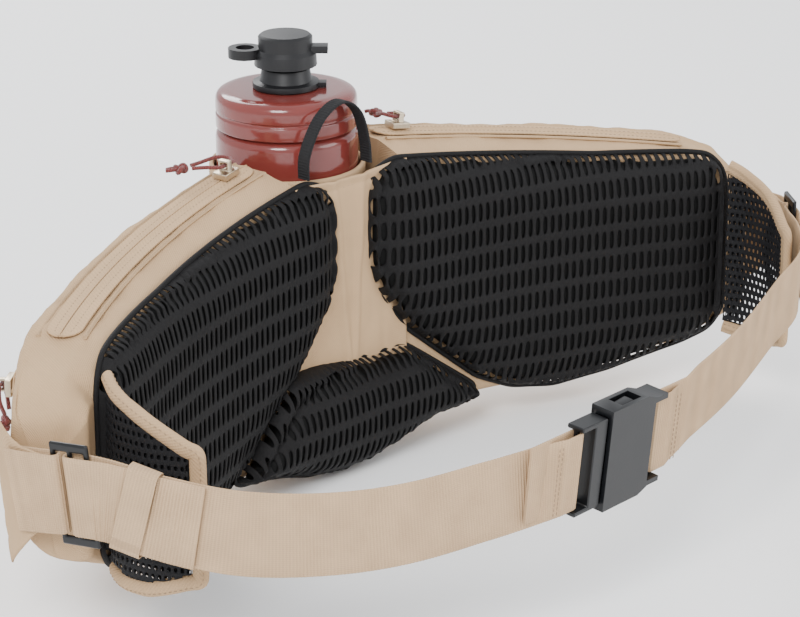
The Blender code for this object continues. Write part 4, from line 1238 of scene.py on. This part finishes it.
def make_sleeve():
    """The stretch sleeve round the bottle, its rim turned over in a hem."""
    profile = [(-143.9, 8), (-143.4, 30), (-141.0, 38.2), (-136, 39.7)]
    profile += [(z, 39.6) for z in np.linspace(-130, -12, 40)]
    profile += [(-9, 39.2), (-8, 40.0), (-3.4, 40.1), (-1.9, 39.2), (-2.2, 38.0), (-4, 37.6)]
    angles = np.linspace(0, 2 * math.pi, 120, endpoint=False)
    grid = []
    for z, r in profile:
        row = []
        for a in angles:
            slack = 0.35 * folds((math.cos(a) * 39, math.sin(a) * 39, z), 9.0, 22.0, (1, 1, 0.4))
            radius = max(37.5, r + slack) if z > -134 else r
            row.append((BOTTLE_XY[0] + radius * math.cos(a), BOTTLE_XY[1] + radius * math.sin(a), z))
        grid.append(row)
    mesh = grid_mesh("sleeve_cloth", np.array(grid), ring=True, caps=False, sharp_deg=80)
    piece("sleeve_cloth", mesh, SHELL, "bag", ("bottle_sleeve",))
    turned("sleeve_base_cloth", [(0.05, -141.5), (34, -141.5), (36.5, -140.6), (37.2, -142.0), (35, -143.9),
                                 (0.05, -143.9)], BOTTLE_XY, SHELL, "bag", None,
           (0.01, 1, 0.5, 0.5, 1.5, 0.01))
    line = np.array([(BOTTLE_XY[0] + 40.1 * math.cos(a), BOTTLE_XY[1] + 40.1 * math.sin(a), -7.6)
                     for a in np.linspace(0, math.pi, 90)])
    outs = line - np.array((BOTTLE_XY[0], BOTTLE_XY[1], -7.6))
    stitches("sleeve_hem_stitch", line, outs, "bag", DARK_STITCH, 3.0, 1.9, 0.26)


def make_grab_loop():
    line = spaced(catmull([(x, GRAB_Y, z) for x, z in GRAB_ARCH], 8), 0.5)
    ups = np.tile((0.0, 1.0, 0.0), (len(line), 1))
    mesh = sweep("grab_webbing", line, ups, tape_section(8.0, 1.3), 0.14)
    piece("grab_webbing", mesh, LOOP_WEB, "grab_loop", ("grab_loop",))


# ---------------------------------------------------------------- stage

TARGET = Vector((-0.0004, -0.0592, -0.0693))
VIEW_AZIMUTH, VIEW_ELEVATION, VIEW_DISTANCE = -46.02, 20.26, 1.4002
LENS = 126.55
SHIFT = (-0.0334, 0.0260)
FLOOR_Z = -0.1585
FLOOR_HALF = 6.0


def make_camera():
    data = bpy.data.cameras.new("camera")
    data.lens = LENS
    data.sensor_width = 36.0
    data.shift_x, data.shift_y = SHIFT
    data.clip_start, data.clip_end = 0.05, 20
    camera = bpy.data.objects.new("camera", data)
    bpy.context.scene.collection.objects.link(camera)
    a, e = math.radians(VIEW_AZIMUTH), math.radians(VIEW_ELEVATION)
    back = Vector((math.sin(a) * math.cos(e), -math.cos(a) * math.cos(e), math.sin(e)))
    camera.location = TARGET + back * VIEW_DISTANCE
    camera.rotation_mode = "QUATERNION"
    camera.rotation_quaternion = (-back).to_track_quat("-Z", "Y")
    bpy.context.scene.camera = camera


def make_light(name, place, size, power):
    data = bpy.data.lights.new(name, "AREA")
    data.shape = "DISK"
    data.size = size
    data.energy = power
    lamp = bpy.data.objects.new(name, data)
    bpy.context.scene.collection.objects.link(lamp)
    lamp.location = place
    lamp.rotation_mode = "QUATERNION"
    lamp.rotation_quaternion = (TARGET - Vector(place)).to_track_quat("-Z", "Y")


def make_stage():
    mesh = bpy.data.meshes.new("floor")
    corners = [(x * FLOOR_HALF, y * FLOOR_HALF, FLOOR_Z) for x, y in ((-1, -1), (1, -1), (1, 1), (-1, 1))]
    mesh.from_pydata(corners, [], [(0, 1, 2, 3)])
    mesh.materials.append(pale_floor())
    floor = bpy.data.objects.new("floor", mesh)
    bpy.context.scene.collection.objects.link(floor)
    world = bpy.data.worlds.new("studio")
    world.use_nodes = True
    world.node_tree.nodes["Background"].inputs[0].default_value = (0.95, 0.97, 1.0, 1)
    world.node_tree.nodes["Background"].inputs[1].default_value = 1.3
    bpy.context.scene.world = world
    make_light("key", (-1.5, -0.9, 1.3), 0.9, 44)
    make_light("fill", (0.9, -1.6, 0.7), 1.2, 16)
    make_light("back", (0.6, 1.5, 1.2), 1.0, 26)


make_camera()
make_pulls()
make_zips()
make_back()
for flap, hand in (("left", -1), ("right", 1)):
    make_flap(flap, hand)
make_belt()
make_bottle()
make_grab_loop()
make_stage()
